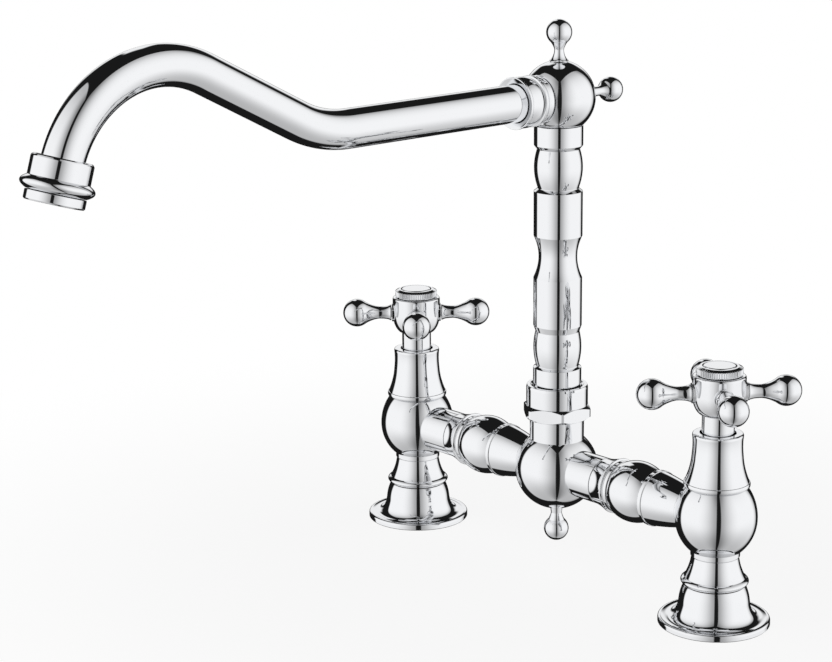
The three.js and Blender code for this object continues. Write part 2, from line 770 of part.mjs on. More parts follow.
function centreBody() {
  const { ballRadius, neckRadius, boreRadius } = centre;
  const seat = finial.baseRadius;
  const low = -Math.acos(seat / ballRadius);
  const high = Math.acos(neckRadius / ballRadius);
  const holeTop = dropSeat + 2 * finial.tenonLength;
  const profile = start(finialHole, dropSeat)
    .lineTo(seat, dropSeat)
    .absarc(0, ballMiddle, ballRadius, low, high, false)
    .lineTo(neckRadius, threadTop)
    .lineTo(boreRadius, threadTop)
    .lineTo(boreRadius, BRIDGE_HEIGHT + centre.boreAbove)
    .quadraticCurveTo(centre.chamberRadius, BRIDGE_HEIGHT, WATERWAY_RADIUS, dropSeat + centre.chamberRise)
    .lineTo(finialHole, holeTop)
    .closePath();
  return turned(profile, SIDES.large, 3)
    .add(spigot())
    .add(socketBoss(ballRadius))
    .subtract(spigotBore())
    .subtract(socketBore(ballRadius));
}

function unionNut() {
  const hexFoot = neckTop + EDGE;
  const hexTop = hexFoot + nut.hexHeight;
  const corner = nutRadius + nut.cornerProud;
  const flat = corner * Math.cos(radians(30));
  const lipFoot = riserBase + riser.washerThickness + 2 * SEAT_GAP;
  const top = lipFoot + nut.lipHeight;
  const chamfered = start(0, hexFoot)
    .lineTo(flat, hexFoot)
    .lineTo(corner, hexFoot + nut.chamfer)
    .lineTo(corner, hexTop - nut.chamfer)
    .lineTo(flat - EDGE, hexTop)
    .lineTo(0, hexTop);
  const hexagon = rod(corner, hexFoot - 1, hexTop + 1, 6).rotate([0, 0, nut.cornerAngle + 90]);
  const inside = start(0, hexFoot - 1)
    .lineTo(nutBore, hexFoot - 1)
    .lineTo(nutBore, lipFoot)
    .lineTo(nutHole, lipFoot)
    .lineTo(nutHole, top - nut.dish)
    .lineTo(nutRadius - nut.dishRim, top)
    .lineTo(nutRadius - nut.dishRim, top + 1)
    .lineTo(0, top + 1);
  return turned(chamfered, SIDES.large)
    .intersect(hexagon)
    .add(rod(nutRadius, hexTop - EDGE, top, SIDES.large))
    .subtract(turned(inside, SIDES.large));
}

function swivelWasher() {
  const from = riserBase + SEAT_GAP;
  return ring(flangeRadius, nutHole, from, from + riser.washerThickness, SIDES.large);
}

// ---- Riser and ball head, on the swivel's axis ----

const flangeRadius = centre.neckRadius; // of the riser's flange, inside the union nut
const headFoot = ARM_HEIGHT - flatReach(head.radius, head.faceRadius);
const riserTop = headFoot - SEAT_GAP;
const grooveRadius = spigotRadius - riser.grooveDepth;

// Lengths along the column, from the flange up, spread over the height that the riser has.
const pattern = [
  riser.lowRing,
  riser.seam,
  riser.lowBarrel,
  riser.chamfer,
  riser.lowCylinder,
  riser.waist,
  riser.highCylinder,
  riser.highSeam,
  riser.highBarrel,
  riser.neckChamfer,
  riser.neckRing,
];
const patternLength = pattern.reduce((sum, length) => sum + length, 0);
const spread = (riserTop - riserBase) / patternLength;

function riserColumn() {
  const { radius, bore, barrelRise, lowBarrelEnd, highBarrelEnd } = riser;
  const level = [riserBase];
  for (const length of pattern) level.push(level.at(-1) + length * spread);
  const middle = (i) => (level[i] + level[i + 1]) / 2;
  const bulge = (end) => 2 * riser.barrelRadius - end - barrelRise / 2; // control radius of a barrel
  const profile = start(bore, spigotFoot).lineTo(spigotRadius, spigotFoot);
  for (const rise of riser.grooveRises) {
    const from = spigotFoot + rise;
    const to = from + riser.grooveWidth;
    profile.lineTo(spigotRadius, from).lineTo(grooveRadius, from);
    profile.lineTo(grooveRadius, to).lineTo(spigotRadius, to);
  }
  profile
    .lineTo(spigotRadius, flangeFoot)
    .lineTo(flangeRadius, flangeFoot)
    .lineTo(flangeRadius, level[0])
    .lineTo(radius, level[0])
    .lineTo(radius, level[1])
    .lineTo(lowBarrelEnd, level[2])
    .quadraticCurveTo(bulge(lowBarrelEnd), middle(2), lowBarrelEnd + barrelRise, level[3])
    .lineTo(radius, level[4])
    .lineTo(radius, level[5])
    .quadraticCurveTo(2 * riser.waistRadius - radius, middle(5), radius, level[6])
    .lineTo(radius, level[7])
    .lineTo(highBarrelEnd, level[8])
    .quadraticCurveTo(bulge(highBarrelEnd), middle(8), highBarrelEnd + barrelRise, level[9])
    .lineTo(radius, level[10])
    .lineTo(radius, riserTop)
    .lineTo(bore, riserTop)
    .closePath();
  return turned(profile, SIDES.medium, 3);
}

function riserSeal(rise) {
  const inner = spigotRadius - riser.grooveDepth / 2;
  const from = spigotFoot + rise + SEAT_GAP;
  return ring(spigotRadius, inner, from, from + riser.grooveWidth - 2 * SEAT_GAP, SIDES.inner);
}

function ballHead() {
  const { radius, faceRadius, seatRadius, waterwayRadius } = head;
  const tenonRadius = riser.bore - FIT_GAP;
  const tenonFoot = riserTop - head.tenonLength;
  const seat = flatReach(radius, seatRadius);
  const face = flatReach(radius, faceRadius);
  const low = -Math.asin(face / radius);
  const high = Math.asin(seat / radius);
  const ball = start(0, tenonFoot)
    .lineTo(tenonRadius, tenonFoot)
    .lineTo(tenonRadius, headFoot)
    .absarc(0, ARM_HEIGHT, radius, low, high, false)
    .lineTo(0, ARM_HEIGHT + seat);
  const flat = (from) => rod(2 * radius, from, 2 * radius, SIDES.small); // cuts the ball off to a face
  const inFront = rod(head.socketRadius, face - head.socketDepth, face + 1, SIDES.medium)
    .add(rod(waterwayRadius, 0, face, SIDES.small))
    .add(flat(face));
  const finialBore = rod(finialHole, seat - finial.tenonLength - EDGE, seat + 1, SIDES.small);
  const above = finialBore.translate([0, 0, ARM_HEIGHT]);
  const behind = finialBore.add(flat(seat));
  return turned(ball, SIDES.medium, 3)
    .subtract(rod(waterwayRadius, tenonFoot - 1, ARM_HEIGHT, SIDES.small))
    .subtract(alongMinusY(inFront).translate([0, 0, ARM_HEIGHT]))
    .subtract(alongY(behind).translate([0, 0, ARM_HEIGHT]))
    .subtract(above);
}

// A turned finial along +Z from its seat: screwed tenon, flared foot, neck and ball.
function turnedFinial(baseRadius, neckRadius, reach) {
  const { tenonRadius, tenonLength, ballRadius } = finial;
  const cheek = radians(finial.cheekAngle);
  const cheekAt = reach + ballRadius * Math.sin(cheek);
  const neckEnd = reach - finial.neckBelow;
  const profile = start(0, -tenonLength)
    .lineTo(tenonRadius, -tenonLength)
    .lineTo(tenonRadius, 0)
    .lineTo(baseRadius, 0)
    .quadraticCurveTo(neckRadius, 2 * EDGE, neckRadius, finial.footShare * reach)
    .lineTo(neckRadius, neckEnd)
    .quadraticCurveTo(neckRadius + EDGE, (neckEnd + cheekAt) / 2, ballRadius * Math.cos(cheek), cheekAt)
    .absarc(0, reach, ballRadius, cheek, Math.PI / 2, false);
  return turned(profile, SIDES.small);
}

// ---- Spout, drawn with its level arm along -Y from the swivel's axis at z = 0 ----

// An arc in the plane x = 0 that starts at a point, heads a given way and turns by an angle.
class PlaneArc extends THREE.Curve {
  constructor(from, heading, radius, turn) {
    super();
    Object.assign(this, { from, heading, radius, turn });
  }
  getPoint(t, target = new THREE.Vector3()) {
    const side = Math.sign(this.turn);
    const now = this.heading + this.turn * t;
    const forward = side * this.radius * (Math.sin(now) - Math.sin(this.heading));
    const up = side * this.radius * (Math.cos(this.heading) - Math.cos(now));
    return target.set(0, this.from.y - forward, this.from.z + up);
  }
}

const armFace = flatReach(head.radius, head.faceRadius) + SEAT_GAP; // swivel axis to the back of the collar
const towards = (heading) => new THREE.Vector3(0, -Math.cos(heading), Math.sin(heading));

function spoutPath() {
  const path = new THREE.CurvePath();
  let at = new THREE.Vector3(0, -armFace - spout.collarLength + spout.tubeInsert, 0);
  let heading = 0; // radians above the level, going out along -Y
  const straight = (length) => {
    const next = at.clone().addScaledVector(towards(heading), length);
    path.add(new THREE.LineCurve3(at, next));
    at = next;
  };
  const bend = (radius, degrees) => {
    const arc = new PlaneArc(at, heading, radius, radians(degrees));
    path.add(arc);
    at = arc.getPoint(1);
    heading += radians(degrees);
  };
  straight(spout.levelReach + at.y);
  bend(spout.riseBend, spout.riseAngle);
  straight(spout.riseLength);
  bend(spout.swanBend, -spout.swanAngle);
  straight(spout.tailLength);
  return { path, end: at, heading };
}

const spoutRun = spoutPath();

function spoutTube() {
  const wall = new THREE.Shape().absarc(0, 0, spout.tubeRadius, 0, 2 * Math.PI);
  wall.holes.push(new THREE.Path().absarc(0, 0, spout.tubeRadius - spout.tubeWall, 0, 2 * Math.PI));
  const tube = new THREE.ExtrudeGeometry(wall, {
    steps: TUBE_STEPS,
    curveSegments: ROUND,
    extrudePath: spoutRun.path,
  });
  return solidOf(tube);
}

// The collar between the ball head and the tube, along +Z from the ball's face.
function armCollar() {
  const { collarLength: length, ringDepth, ringWidth } = spout;
  const { waterwayRadius } = head;
  const plug = head.socketRadius - FIT_GAP;
  const plugFoot = -head.socketDepth + SEAT_GAP;
  const tubeFloor = length - spout.tubeInsert - SEAT_GAP;
  const tubeBore = spout.tubeRadius + FIT_GAP;
  const groove = collarRadius - ringDepth;
  const lipRadius = collarRadius + spout.lipProud;
  const grooveStart = length - ringWidth - 2 * EDGE;
  const profile = start(waterwayRadius, plugFoot)
    .lineTo(plug, plugFoot)
    .lineTo(plug, 0)
    .lineTo(collarRadius, 0)
    .lineTo(collarRadius, ringWidth)
    .lineTo(groove, ringWidth + EDGE)
    .lineTo(collarRadius, ringWidth + 3 * EDGE)
    .quadraticCurveTo(groove, length / 2, collarRadius, grooveStart - 2 * EDGE)
    .lineTo(groove, grooveStart)
    .lineTo(lipRadius, length - ringWidth)
    .lineTo(lipRadius, length)
    .lineTo(spout.tubeRadius + spout.lipFlare, length)
    .lineTo(tubeBore, length - spout.lipDepth)
    .lineTo(tubeBore, tubeFloor)
    .lineTo(waterwayRadius, tubeFloor - 1)
    .closePath();
  return turned(profile, SIDES.medium);
}

// ---- Outlet, along +Z from the rim of its collar down the stream ----

const beadEnd = outlet.sleeveLength + outlet.beadLength;
const tubeEnd = outlet.grip + spout.tailLength;
const washerStart = tubeEnd + SEAT_GAP + WALL;
const threadStart = beadEnd - outlet.threadLength;
const threadBore = threadRadius + FIT_GAP;
const screenRadius = threadRadius - outlet.ledgeWidth;

function outletCollar() {
  const { sleeveLength, beadProud } = outlet;
  const tubeBore = spout.tubeRadius + 2 * FIT_GAP;
  const foot = outletRadius - EDGE;
  const bulge = outletRadius + 2 * beadProud; // control radius that gives the bead its width
  const profile = start(tubeBore, 0)
    .lineTo(foot, 0)
    .lineTo(outletRadius, 2 * EDGE)
    .lineTo(outletRadius, sleeveLength)
    .quadraticCurveTo(bulge, (sleeveLength + beadEnd) / 2, foot, beadEnd)
    .lineTo(threadBore, beadEnd)
    .lineTo(threadBore, washerStart - SEAT_GAP)
    .lineTo(tubeBore, washerStart - 2 * SEAT_GAP)
    .closePath();
  return turned(profile, SIDES.medium, 4);
}

function aeratorHousing() {
  const skirtFoot = beadEnd + SEAT_GAP;
  const skirtRadius = outletRadius - SEAT_GAP;
  const end = skirtFoot + outlet.skirtLength;
  const ledge = threadStart + outlet.screenThickness + 2 * SEAT_GAP;
  const mouth = threadRadius - outlet.mouthWall;
  const profile = start(screenRadius, threadStart)
    .lineTo(threadRadius, threadStart)
    .lineTo(threadRadius, skirtFoot)
    .lineTo(skirtRadius, skirtFoot)
    .lineTo(skirtRadius, end - EDGE)
    .lineTo(skirtRadius - EDGE, end)
    .lineTo(mouth, end)
    .lineTo(mouth - EDGE, ledge)
    .lineTo(screenRadius, ledge)
    .closePath();
  return turned(profile, SIDES.medium);
}

// A disc with a ring of holes round a middle one.
function aeratorScreen() {
  const { holes, holeRing, holeRadius } = outlet;
  const circle = (x, y, radius) => new THREE.Path().absarc(x, y, radius, 0, 2 * Math.PI);
  const rim = circle(0, 0, screenRadius - FIT_GAP).getPoints(ROUND);
  const plate = new THREE.Shape(rim.slice(1));
  plate.holes.push(circle(0, 0, holeRadius));
  for (let i = 0; i < holes; i++) {
    const angle = (2 * Math.PI * i) / holes;
    plate.holes.push(circle(holeRing * Math.cos(angle), holeRing * Math.sin(angle), holeRadius));
  }
  return extruded(plate, threadStart + SEAT_GAP, outlet.screenThickness, 3);
}

function aeratorWasher() {
  const outer = threadRadius - SEAT_GAP;
  const inner = outer - outlet.washerWidth;
  return ring(outer, inner, washerStart, washerStart + outlet.washerThickness, SIDES.inner);
}

// ---- Assembly ----

function pillar(side, x, bodySolid, handleAngle) {
  const group = new THREE.Group();
  group.position.x = x;
  group.add(
    piece(`${side}_base_escutcheon`, footBell(), chrome),
    piece(`${side}_base_gasket`, gasket(), rubber),
    piece(`${side}_threaded_shank`, threadedShank(), brass),
    piece(`${side}_valve_body`, bodySolid, chrome),
    piece(`${side}_seat_seal`, seatSeal(), rubber),
    piece(`${side}_fixed_ceramic_disc`, ceramicDisc(fixedDiscFloor), ceramic),
    piece(`${side}_cartridge_body`, cartridgeBody(), brass),
    piece(`${side}_bonnet`, bonnetBell(), chrome),
  );
  const turning = new THREE.Group();
  turning.rotation.z = radians(handleAngle);
  turning.add(
    piece(`${side}_moving_ceramic_disc`, ceramicDisc(movingDiscFloor), ceramic),
    piece(`${side}_cartridge_spindle`, spindle(), brass),
    piece(`${side}_handle_hub`, handleHub(), chrome),
    piece(`${side}_handle_screw`, handleScrew(), steel),
    piece(`${side}_index_ring`, indexRing(), chrome),
    piece(`${side}_index_button`, indexButton(), chrome),
  );
  for (let i = 0; i < 4; i++) {
    const arm = alongX(handleArm()).rotate([0, 0, 90 * i]).translate([0, 0, armAxis]);
    turning.add(piece(`${side}_handle_arm_${i + 1}`, arm, chrome));
  }
  group.add(turning);
  return group;
}

function bridgeHalf(side, x, farBodyRadius) {
  const group = new THREE.Group();
  group.position.set(x, 0, BRIDGE_HEIGHT);
  group.add(
    piece(`${side}_union_collar`, alongX(unionCollar()), chrome),
    piece(`${side}_bridge_seal`, alongX(bridgeSeal()), rubber),
    piece(`${side}_bridge_sleeve`, alongX(bridgeSleeve(farBodyRadius)), chrome),
  );
  return group;
}

function middle() {
  const group = new THREE.Group();
  const drop = turnedFinial(finial.bottomBaseRadius, finial.bottomNeckRadius, finial.bottomReach);
  group.add(
    piece("centre_body", centreBody(), chrome),
    piece("bottom_finial", drop.rotate([180, 0, 0]).translate([0, 0, dropSeat - SEAT_GAP]), chrome),
    piece("union_nut", unionNut(), chrome),
    piece("swivel_washer", swivelWasher(), acetal),
  );
  return group;
}

function swivelling() {
  const group = new THREE.Group();
  const seat = flatReach(head.radius, head.seatRadius) + SEAT_GAP;
  const atArm = (solid) => solid.translate([0, 0, ARM_HEIGHT]);
  const top = turnedFinial(finial.baseRadius, finial.neckRadius, finial.topReach).translate([0, 0, seat]);
  const side = turnedFinial(finial.baseRadius, finial.neckRadius, finial.sideReach).translate([0, 0, seat]);
  group.add(
    piece("riser_column", riserColumn(), chrome),
    piece("riser_lower_seal", riserSeal(riser.grooveRises[0]), rubber),
    piece("riser_upper_seal", riserSeal(riser.grooveRises[1]), rubber),
    piece("ball_head", ballHead(), chrome),
    piece("top_finial", atArm(top), chrome),
    piece("side_finial", atArm(alongY(side)), chrome),
    piece("spout_collar", atArm(alongMinusY(armCollar().translate([0, 0, armFace]))), chrome),
    piece("spout_tube", atArm(spoutTube()), chrome),
  );
  const tip = new THREE.Group();
  const stream = towards(spoutRun.heading);
  tip.quaternion.setFromUnitVectors(new THREE.Vector3(0, 0, 1), stream);
  tip.position.copy(spoutRun.end).addScaledVector(stream, -tubeEnd);
  tip.position.z += ARM_HEIGHT;
  tip.add(
    piece("outlet_collar", outletCollar(), chrome),
    piece("aerator_housing", aeratorHousing(), chrome),
    piece("aerator_screen", aeratorScreen(), acetal),
    piece("aerator_washer", aeratorWasher(), rubber),
  );
  group.add(tip);
  return group;
}

const faucet = new THREE.Group();
faucet.name = "bridge_kitchen_faucet";
faucet.add(
  pillar("left", -half, hotBody(), handle.leftAngle),
  pillar("right", half, coldBody(), handle.rightAngle),
  bridgeHalf("left", -half, centre.ballRadius),
  bridgeHalf("right", 0, body.bulbRadius),
  middle(),
  swivelling(),
);
export default faucet;
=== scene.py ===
"""Looks of a polished chrome bridge kitchen faucet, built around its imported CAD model.

Laid out as an add-on and run as a script. Lengths are in metres, +Z is up, the deck is at z = 0, and +X runs
from the hot pillar to the cold one. The spout points to -Y.
"""

import json
import math

import bmesh
import bpy
from bpy.props import FloatProperty, FloatVectorProperty, IntProperty, PointerProperty
from bpy.types import Operator, Panel, PropertyGroup
from mathutils import Matrix, Vector


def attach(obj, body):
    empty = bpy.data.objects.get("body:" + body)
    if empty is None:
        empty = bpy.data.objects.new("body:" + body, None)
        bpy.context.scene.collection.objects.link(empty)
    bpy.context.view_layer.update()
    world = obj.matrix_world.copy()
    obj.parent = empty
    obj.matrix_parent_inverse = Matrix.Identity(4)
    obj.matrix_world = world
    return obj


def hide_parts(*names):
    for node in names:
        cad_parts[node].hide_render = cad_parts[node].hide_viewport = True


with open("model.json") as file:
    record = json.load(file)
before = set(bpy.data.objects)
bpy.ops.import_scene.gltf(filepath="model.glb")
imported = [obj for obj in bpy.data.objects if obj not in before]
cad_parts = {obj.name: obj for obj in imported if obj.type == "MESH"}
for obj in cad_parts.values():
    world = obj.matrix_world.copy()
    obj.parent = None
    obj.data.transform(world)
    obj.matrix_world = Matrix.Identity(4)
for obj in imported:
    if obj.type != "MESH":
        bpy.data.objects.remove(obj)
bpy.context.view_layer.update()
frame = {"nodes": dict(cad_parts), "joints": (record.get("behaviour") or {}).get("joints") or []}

bl_info = {
    "name": "Bridge kitchen faucet",
    "version": (1, 0, 0),
    "blender": (4, 5, 0),
    "location": "3D View > Sidebar > Faucet",
    "description": "Makes the pieces, the finishes and the studio of a bridge kitchen faucet",
    "category": "Object",
}

MM = 0.001
TINY = 1e-7

JOINTS = {joint["name"]: joint for joint in frame["joints"]}
LEFT_AXIS = JOINTS["left_handle_turn"]["pos_m"]
RIGHT_AXIS = JOINTS["right_handle_turn"]["pos_m"]
FIXED, SPOUT = "fixed_faucet", "spout"
HANDLES = {"left": "left_handle", "right": "right_handle"}


# ---- Colours and nodes ----


def linear(code):
    """The scene-linear colour of an sRGB hex value."""
    values = (int(code[i : i + 2], 16) / 255 for i in (0, 2, 4))
    return tuple(v / 12.92 if v <= 0.04045 else ((v + 0.055) / 1.055) ** 2.4 for v in values)


def add_node(tree, kind, inputs=None, **options):
    """Adds a shader node. An input is set to a value, or linked to a socket or to a node's first output."""
    node = tree.nodes.new("ShaderNode" + kind)
    for name, value in options.items():
        setattr(node, name, value)
    for name, value in (inputs or {}).items():
        if isinstance(value, bpy.types.Node):
            value = value.outputs[0]
        if isinstance(value, bpy.types.NodeSocket):
            tree.links.new(value, node.inputs[name])
        else:
            node.inputs[name].default_value = value
    return node


def new_material(name):
    """An empty node material, and its tree."""
    material = bpy.data.materials.new(name)
    material.use_nodes = True
    material.node_tree.nodes.clear()
    return material, material.node_tree


# ---- Settings that a user would change ----


def settings(kind, rows, value=lambda given: given, **shared):
    """Properties of one kind, each from its default and its description, and named after its key."""
    return {
        key: kind(name=key.replace("_", " ").capitalize(), description=text, default=value(given), **shared)
        for key, (given, text) in rows.items()
    }


def lengths(**rows):
    """Settings given in millimetres."""
    return settings(FloatProperty, rows, lambda mm: mm * MM, precision=5, unit="LENGTH")


def angles(**rows):
    """Settings given in degrees."""
    return settings(FloatProperty, rows, math.radians, unit="ROTATION")


def tints(**rows):
    """Settings given as sRGB hex values."""
    return settings(FloatVectorProperty, rows, linear, size=3, min=0, max=1, subtype="COLOR")


class FaucetLayout(PropertyGroup):
    """Where the pieces stand, and the gaps between them."""

    __annotations__ = lengths(
        half_span=(RIGHT_AXIS[0] / MM, "From the middle to the axis of a pillar"),
        bridge_height=(50.5, "From the deck to the axis of the bridge"),
        handle_height=(LEFT_AXIS[2] / MM, "From the deck to the axes of the arms"),
        arm_height=(229.8, "From the deck to the axis of the spout's level arm"),
        seat_gap=(0.3, "Between faces that rest on each other"),
        fit_gap=(0.4, "Between a spigot and its bore, on the radius"),
        rounding=(0.3, "Radius at which sharp edges are broken"),
        waterway=(6, "Radius of the bores"),
    )


class FootSizes(PropertyGroup):
    """Base escutcheon and gasket."""

    __annotations__ = lengths(
        rim_radius=(25.5, "Outside of the flat rim"),
        rim_height=(3.3, "Thickness of the rim"),
        disc_height=(2.3, "Lowest height of the dish between rim and bell"),
        bell_radius=(16.2, "Width of the bell at its shoulder"),
        top_radius=(13.9, "Width of the bell at its top"),
        height=(18.6, "Height of the bell"),
        gasket_height=(1.6, "Thickness of the base gasket"),
    )


class ShankSizes(PropertyGroup):
    """Threaded shank inside each foot."""

    __annotations__ = lengths(
        radius=(12, "Outside of the shank"),
        start=(1.2, "Height of its lower end"),
        inlet_radius=(9.3, "Bore of the inlet"),
        inlet_top=(15.2, "Height at which the inlet ends"),
        tenon_radius=(9.5, "Upper end, in the valve body"),
        tenon_length=(5.6, "Length of the upper end"),
        thread_pitch=(1.81, "From one turn of the threads to the next"),
        thread_depth=(0.6, "Depth of the threads"),
    )


class BodySizes(PropertyGroup):
    """Valve body."""

    __annotations__ = lengths(
        bead_radius=(15.45, "Width of the bead over the escutcheon"),
        bead_height=(3.4, "Height of the bead"),
        waist_radius=(10.75, "Narrowest width"),
        collar_foot=(32.2, "Height at which the collar starts"),
        collar_radius=(11.2, "Width of the collar under the bulb"),
        collar_height=(2.8, "Height of the collar"),
        bulb_radius=(18.6, "Widest ring of the bulb"),
        bulb_below=(19.8, "Half height of the bulb's lower ellipse"),
        bulb_above=(21.7, "Half height of the bulb's upper ellipse"),
        top=(65.2, "Height of the top face"),
        cavity_radius=(9.5, "Bore for the cartridge"),
        cavity_floor=(43, "Height of the cavity's floor"),
    )


class BonnetSizes(PropertyGroup):
    """Bell-shaped cover over the cartridge."""

    __annotations__ = lengths(
        lip_radius=(15, "Widest ring"),
        seam_radius=(14.5, "Width at the foot"),
        neck_radius=(11.15, "Narrowest width"),
        crown_radius=(11.5, "Width at the top"),
        mouth_radius=(8.15, "Opening round the handle's skirt"),
        inside_radius=(10, "Width of the hollow"),
        height=(25, "Height above the valve body"),
    )


class HandleSizes(PropertyGroup):
    """Cross handle."""

    __annotations__ = lengths(
        skirt_radius=(7.35, "Skirt that turns in the bonnet's mouth"),
        hub_radius=(12, "Width of the hub"),
        hub_below=(10.2, "From the arms down to the foot of the bowl"),
        hub_above=(8.2, "From the arms up to the top face"),
        boss_radius=(4.6, "Bosses that carry the arms"),
        boss_reach=(12.4, "From the axis to the face of a boss"),
        root_radius=(4, "Width of an arm at the hub"),
        neck_radius=(3.1, "Narrowest width of an arm"),
        neck_at=(19, "From the axis to the narrowest place"),
        knob_radius=(7.03, "Ball at the end of an arm"),
        knob_at=(30.2, "From the axis to the middle of a ball"),
        ring_radius=(10.6, "Outside of the knurled ring"),
        ring_inner=(7.75, "Inside of the knurled ring"),
        ring_height=(3.8, "Height of the knurled ring"),
        button_radius=(7.35, "Width of the button in the ring"),
        button_height=(4, "Height of the button over the hub"),
    ) | angles(
        left_angle=(48.8, "First arm of the hot handle, from +X"),
        right_angle=(52.7, "First arm of the cold handle, from +X"),
    ) | settings(IntProperty, {"ridges": (60, "Ridges round the index ring")}, min=12)


class BridgeSizes(PropertyGroup):
    """Bridge pieces, measured from the axis of the body on their left."""

    __annotations__ = lengths(
        spigot_radius=(11.1, "Spigot of the body"),
        spigot_end=(32, "Where the spigot ends"),
        tenon_radius=(9, "Tenon in the union collar"),
        tenon_length=(5, "Length of the tenon"),
        flare_radius=(13.2, "Widest ring of the union collar"),
        flare_length=(8.7, "Length of the flare"),
        band_length=(0.6, "Length of the flat band"),
        collar_length=(12.1, "Length of the union collar"),
        ring_radius=(12.5, "Last ring of the union collar"),
        ball_radius=(14.5, "Ball of the sleeve"),
        ball_length=(18.9, "Length of the ball"),
        valley_radius=(11.2, "Between ball and step"),
        valley_length=(1.6, "Length of the valley"),
        step_radius=(13.2, "Band before the taper"),
        step_width=(3, "Length of the band"),
        step_fall=(1.6, "Hollow of the taper"),
        tip_radius=(9.2, "Thin end of the taper"),
        boss_radius=(9.9, "Boss that takes the thin end"),
        boss_proud=(1, "How far the boss stands out"),
        socket_radius=(8.3, "Bore in the boss"),
        socket_depth=(4, "Depth of that bore"),
    )


class CentreSizes(PropertyGroup):
    """Centre body and union nut."""

    __annotations__ = lengths(
        ball_radius=(20, "Ball of the centre body"),
        ball_height=(50, "Height of the ball's middle"),
        neck_radius=(13, "Threaded neck"),
        thread_top=(84, "Height of the neck's top"),
        bore_radius=(9.1, "Bore in which the riser turns"),
        nut_radius=(14.75, "Round collar of the union nut"),
        nut_corner=(16.85, "Corners of the hexagon"),
        hex_foot=(75.5, "Height at which the hexagon starts"),
        hex_height=(7, "Height of the hexagon"),
        hex_chamfer=(1.6, "Height of the chamfers"),
        nut_top=(92, "Height of the nut's top"),
        nut_dish=(0.8, "Depth of the dished mouth"),
        nut_hole=(11.9, "Opening round the riser"),
    ) | angles(
        corner_angle=(24.6, "One corner of the hexagon, from +X"),
    )


class RiserSizes(PropertyGroup):
    """Turned column between the union nut and the ball head."""

    __annotations__ = lengths(
        radius=(11.5, "Plain bands of the column"),
        bore=(6.2, "Waterway in the column"),
        spigot_radius=(8.7, "Spigot in the centre body"),
        spigot_foot=(60, "Height of the spigot's foot"),
        flange_radius=(13, "Flange under the union nut"),
        flange_foot=(84.3, "Height of the flange"),
        base=(87, "Height at which the pattern starts"),
        top=(216.75, "Height at which the column ends"),
        barrel_radius=(11.4, "Widest ring of a barrel"),
        low_barrel_end=(10.05, "Foot of the lower barrel"),
        high_barrel_end=(9.6, "Foot of the upper barrel"),
        barrel_rise=(0.4, "How much wider a barrel's upper end is"),
        waist_radius=(9.1, "Narrowest ring of the middle"),
    )


class HeadSizes(PropertyGroup):
    """Ball head and finials."""

    __annotations__ = lengths(
        radius=(17.1, "Ball of the head"),
        face_radius=(11.4, "Flats for the riser and the spout"),
        seat_radius=(4.75, "Flats for the finials"),
        socket_radius=(8.7, "Bore for the spout's collar"),
        socket_depth=(6, "Depth of that bore"),
        finial_base=(4.5, "Foot of a finial"),
        finial_neck=(2.2, "Neck of a finial"),
        finial_ball=(6, "Ball of a finial"),
        top_reach=(13.3, "From the seat to the middle of the top ball"),
        side_reach=(17.6, "From the seat to the middle of the back ball"),
        drop_reach=(11.1, "From the seat to the middle of the lowest ball"),
        drop_base=(3, "Foot of the lowest finial"),
        drop_neck=(2.6, "Neck of the lowest finial"),
    )


class SpoutSizes(PropertyGroup):
    """Collar, tube and outlet."""

    __annotations__ = lengths(
        tube_radius=(8.7, "Outside of the tube"),
        tube_wall=(1, "Wall of the tube"),
        collar_radius=(11.9, "Outside of the collar"),
        collar_length=(16, "Length of the collar"),
        tube_insert=(10.5, "How far the tube goes into the collar"),
        level_reach=(127.4, "Riser axis to the first bend"),
        rise_bend=(60, "Radius of the first bend"),
        rise_length=(52.3, "Straight between the bends"),
        swan_bend=(48.8, "Radius of the second bend"),
        tail_length=(3, "Straight after the second bend"),
        sleeve_radius=(12.5, "Outlet sleeve"),
        sleeve_length=(8.5, "Length of the sleeve"),
        bead_proud=(2.5, "How far the bead stands out"),
        bead_length=(5.4, "Length of the bead"),
        skirt_length=(4, "Lower ring of the outlet"),
        thread_radius=(10.4, "Thread of the aerator"),
    ) | angles(
        rise_angle=(27.5, "Turn of the first bend, upwards"),
        swan_angle=(100.3, "Turn of the second bend, downwards"),
    )


class FaucetColours(PropertyGroup):
    """Colours and roughness of the finishes."""

    __annotations__ = tints(
        chrome=("E7E8EA", "Chromium over nickel"),
        brass=("C9A25B", "Turned brass of the cartridge"),
        steel=("B9BBBD", "Handle screw"),
        rubber=("1F1F20", "Seals and gaskets"),
        alumina=("EDEAE2", "Ceramic discs"),
        acetal=("F0EFE9", "Washer and screen"),
        floor=("F7F7F7", "Floor of the studio"),
    ) | settings(
        FloatProperty, {"chrome_roughness": (0.035, "Roughness of the chrome")}, min=0, subtype="FACTOR"
    )


class StudioSettings(PropertyGroup):
    """Camera and light."""

    __annotations__ = lengths(
        distance=(1038.098, "Level distance of the camera"),
        sideways=(-67.256, "Camera to the side of its heading"),
        height=(386.339, "Height of the camera"),
    ) | angles(
        heading=(48.749, "Azimuth of the camera"),
        tilt=(14.465, "How far the camera looks down"),
        roll=(-0.586, "Roll of the camera"),
    ) | settings(FloatProperty, {"lens": (97.55, "Focal length")}, subtype="DISTANCE_CAMERA")


GROUPS = {
    "layout": FaucetLayout, "foot": FootSizes, "shank": ShankSizes, "body": BodySizes,
    "bonnet": BonnetSizes, "handle": HandleSizes, "bridge": BridgeSizes, "centre": CentreSizes,
    "riser": RiserSizes, "head": HeadSizes, "spout": SpoutSizes, "colours": FaucetColours,
    "studio": StudioSettings,
}


class FaucetSettings(PropertyGroup):
    """Everything that a user would change."""

    __annotations__ = {name: PointerProperty(type=kind) for name, kind in GROUPS.items()}


# ---- Finishes ----


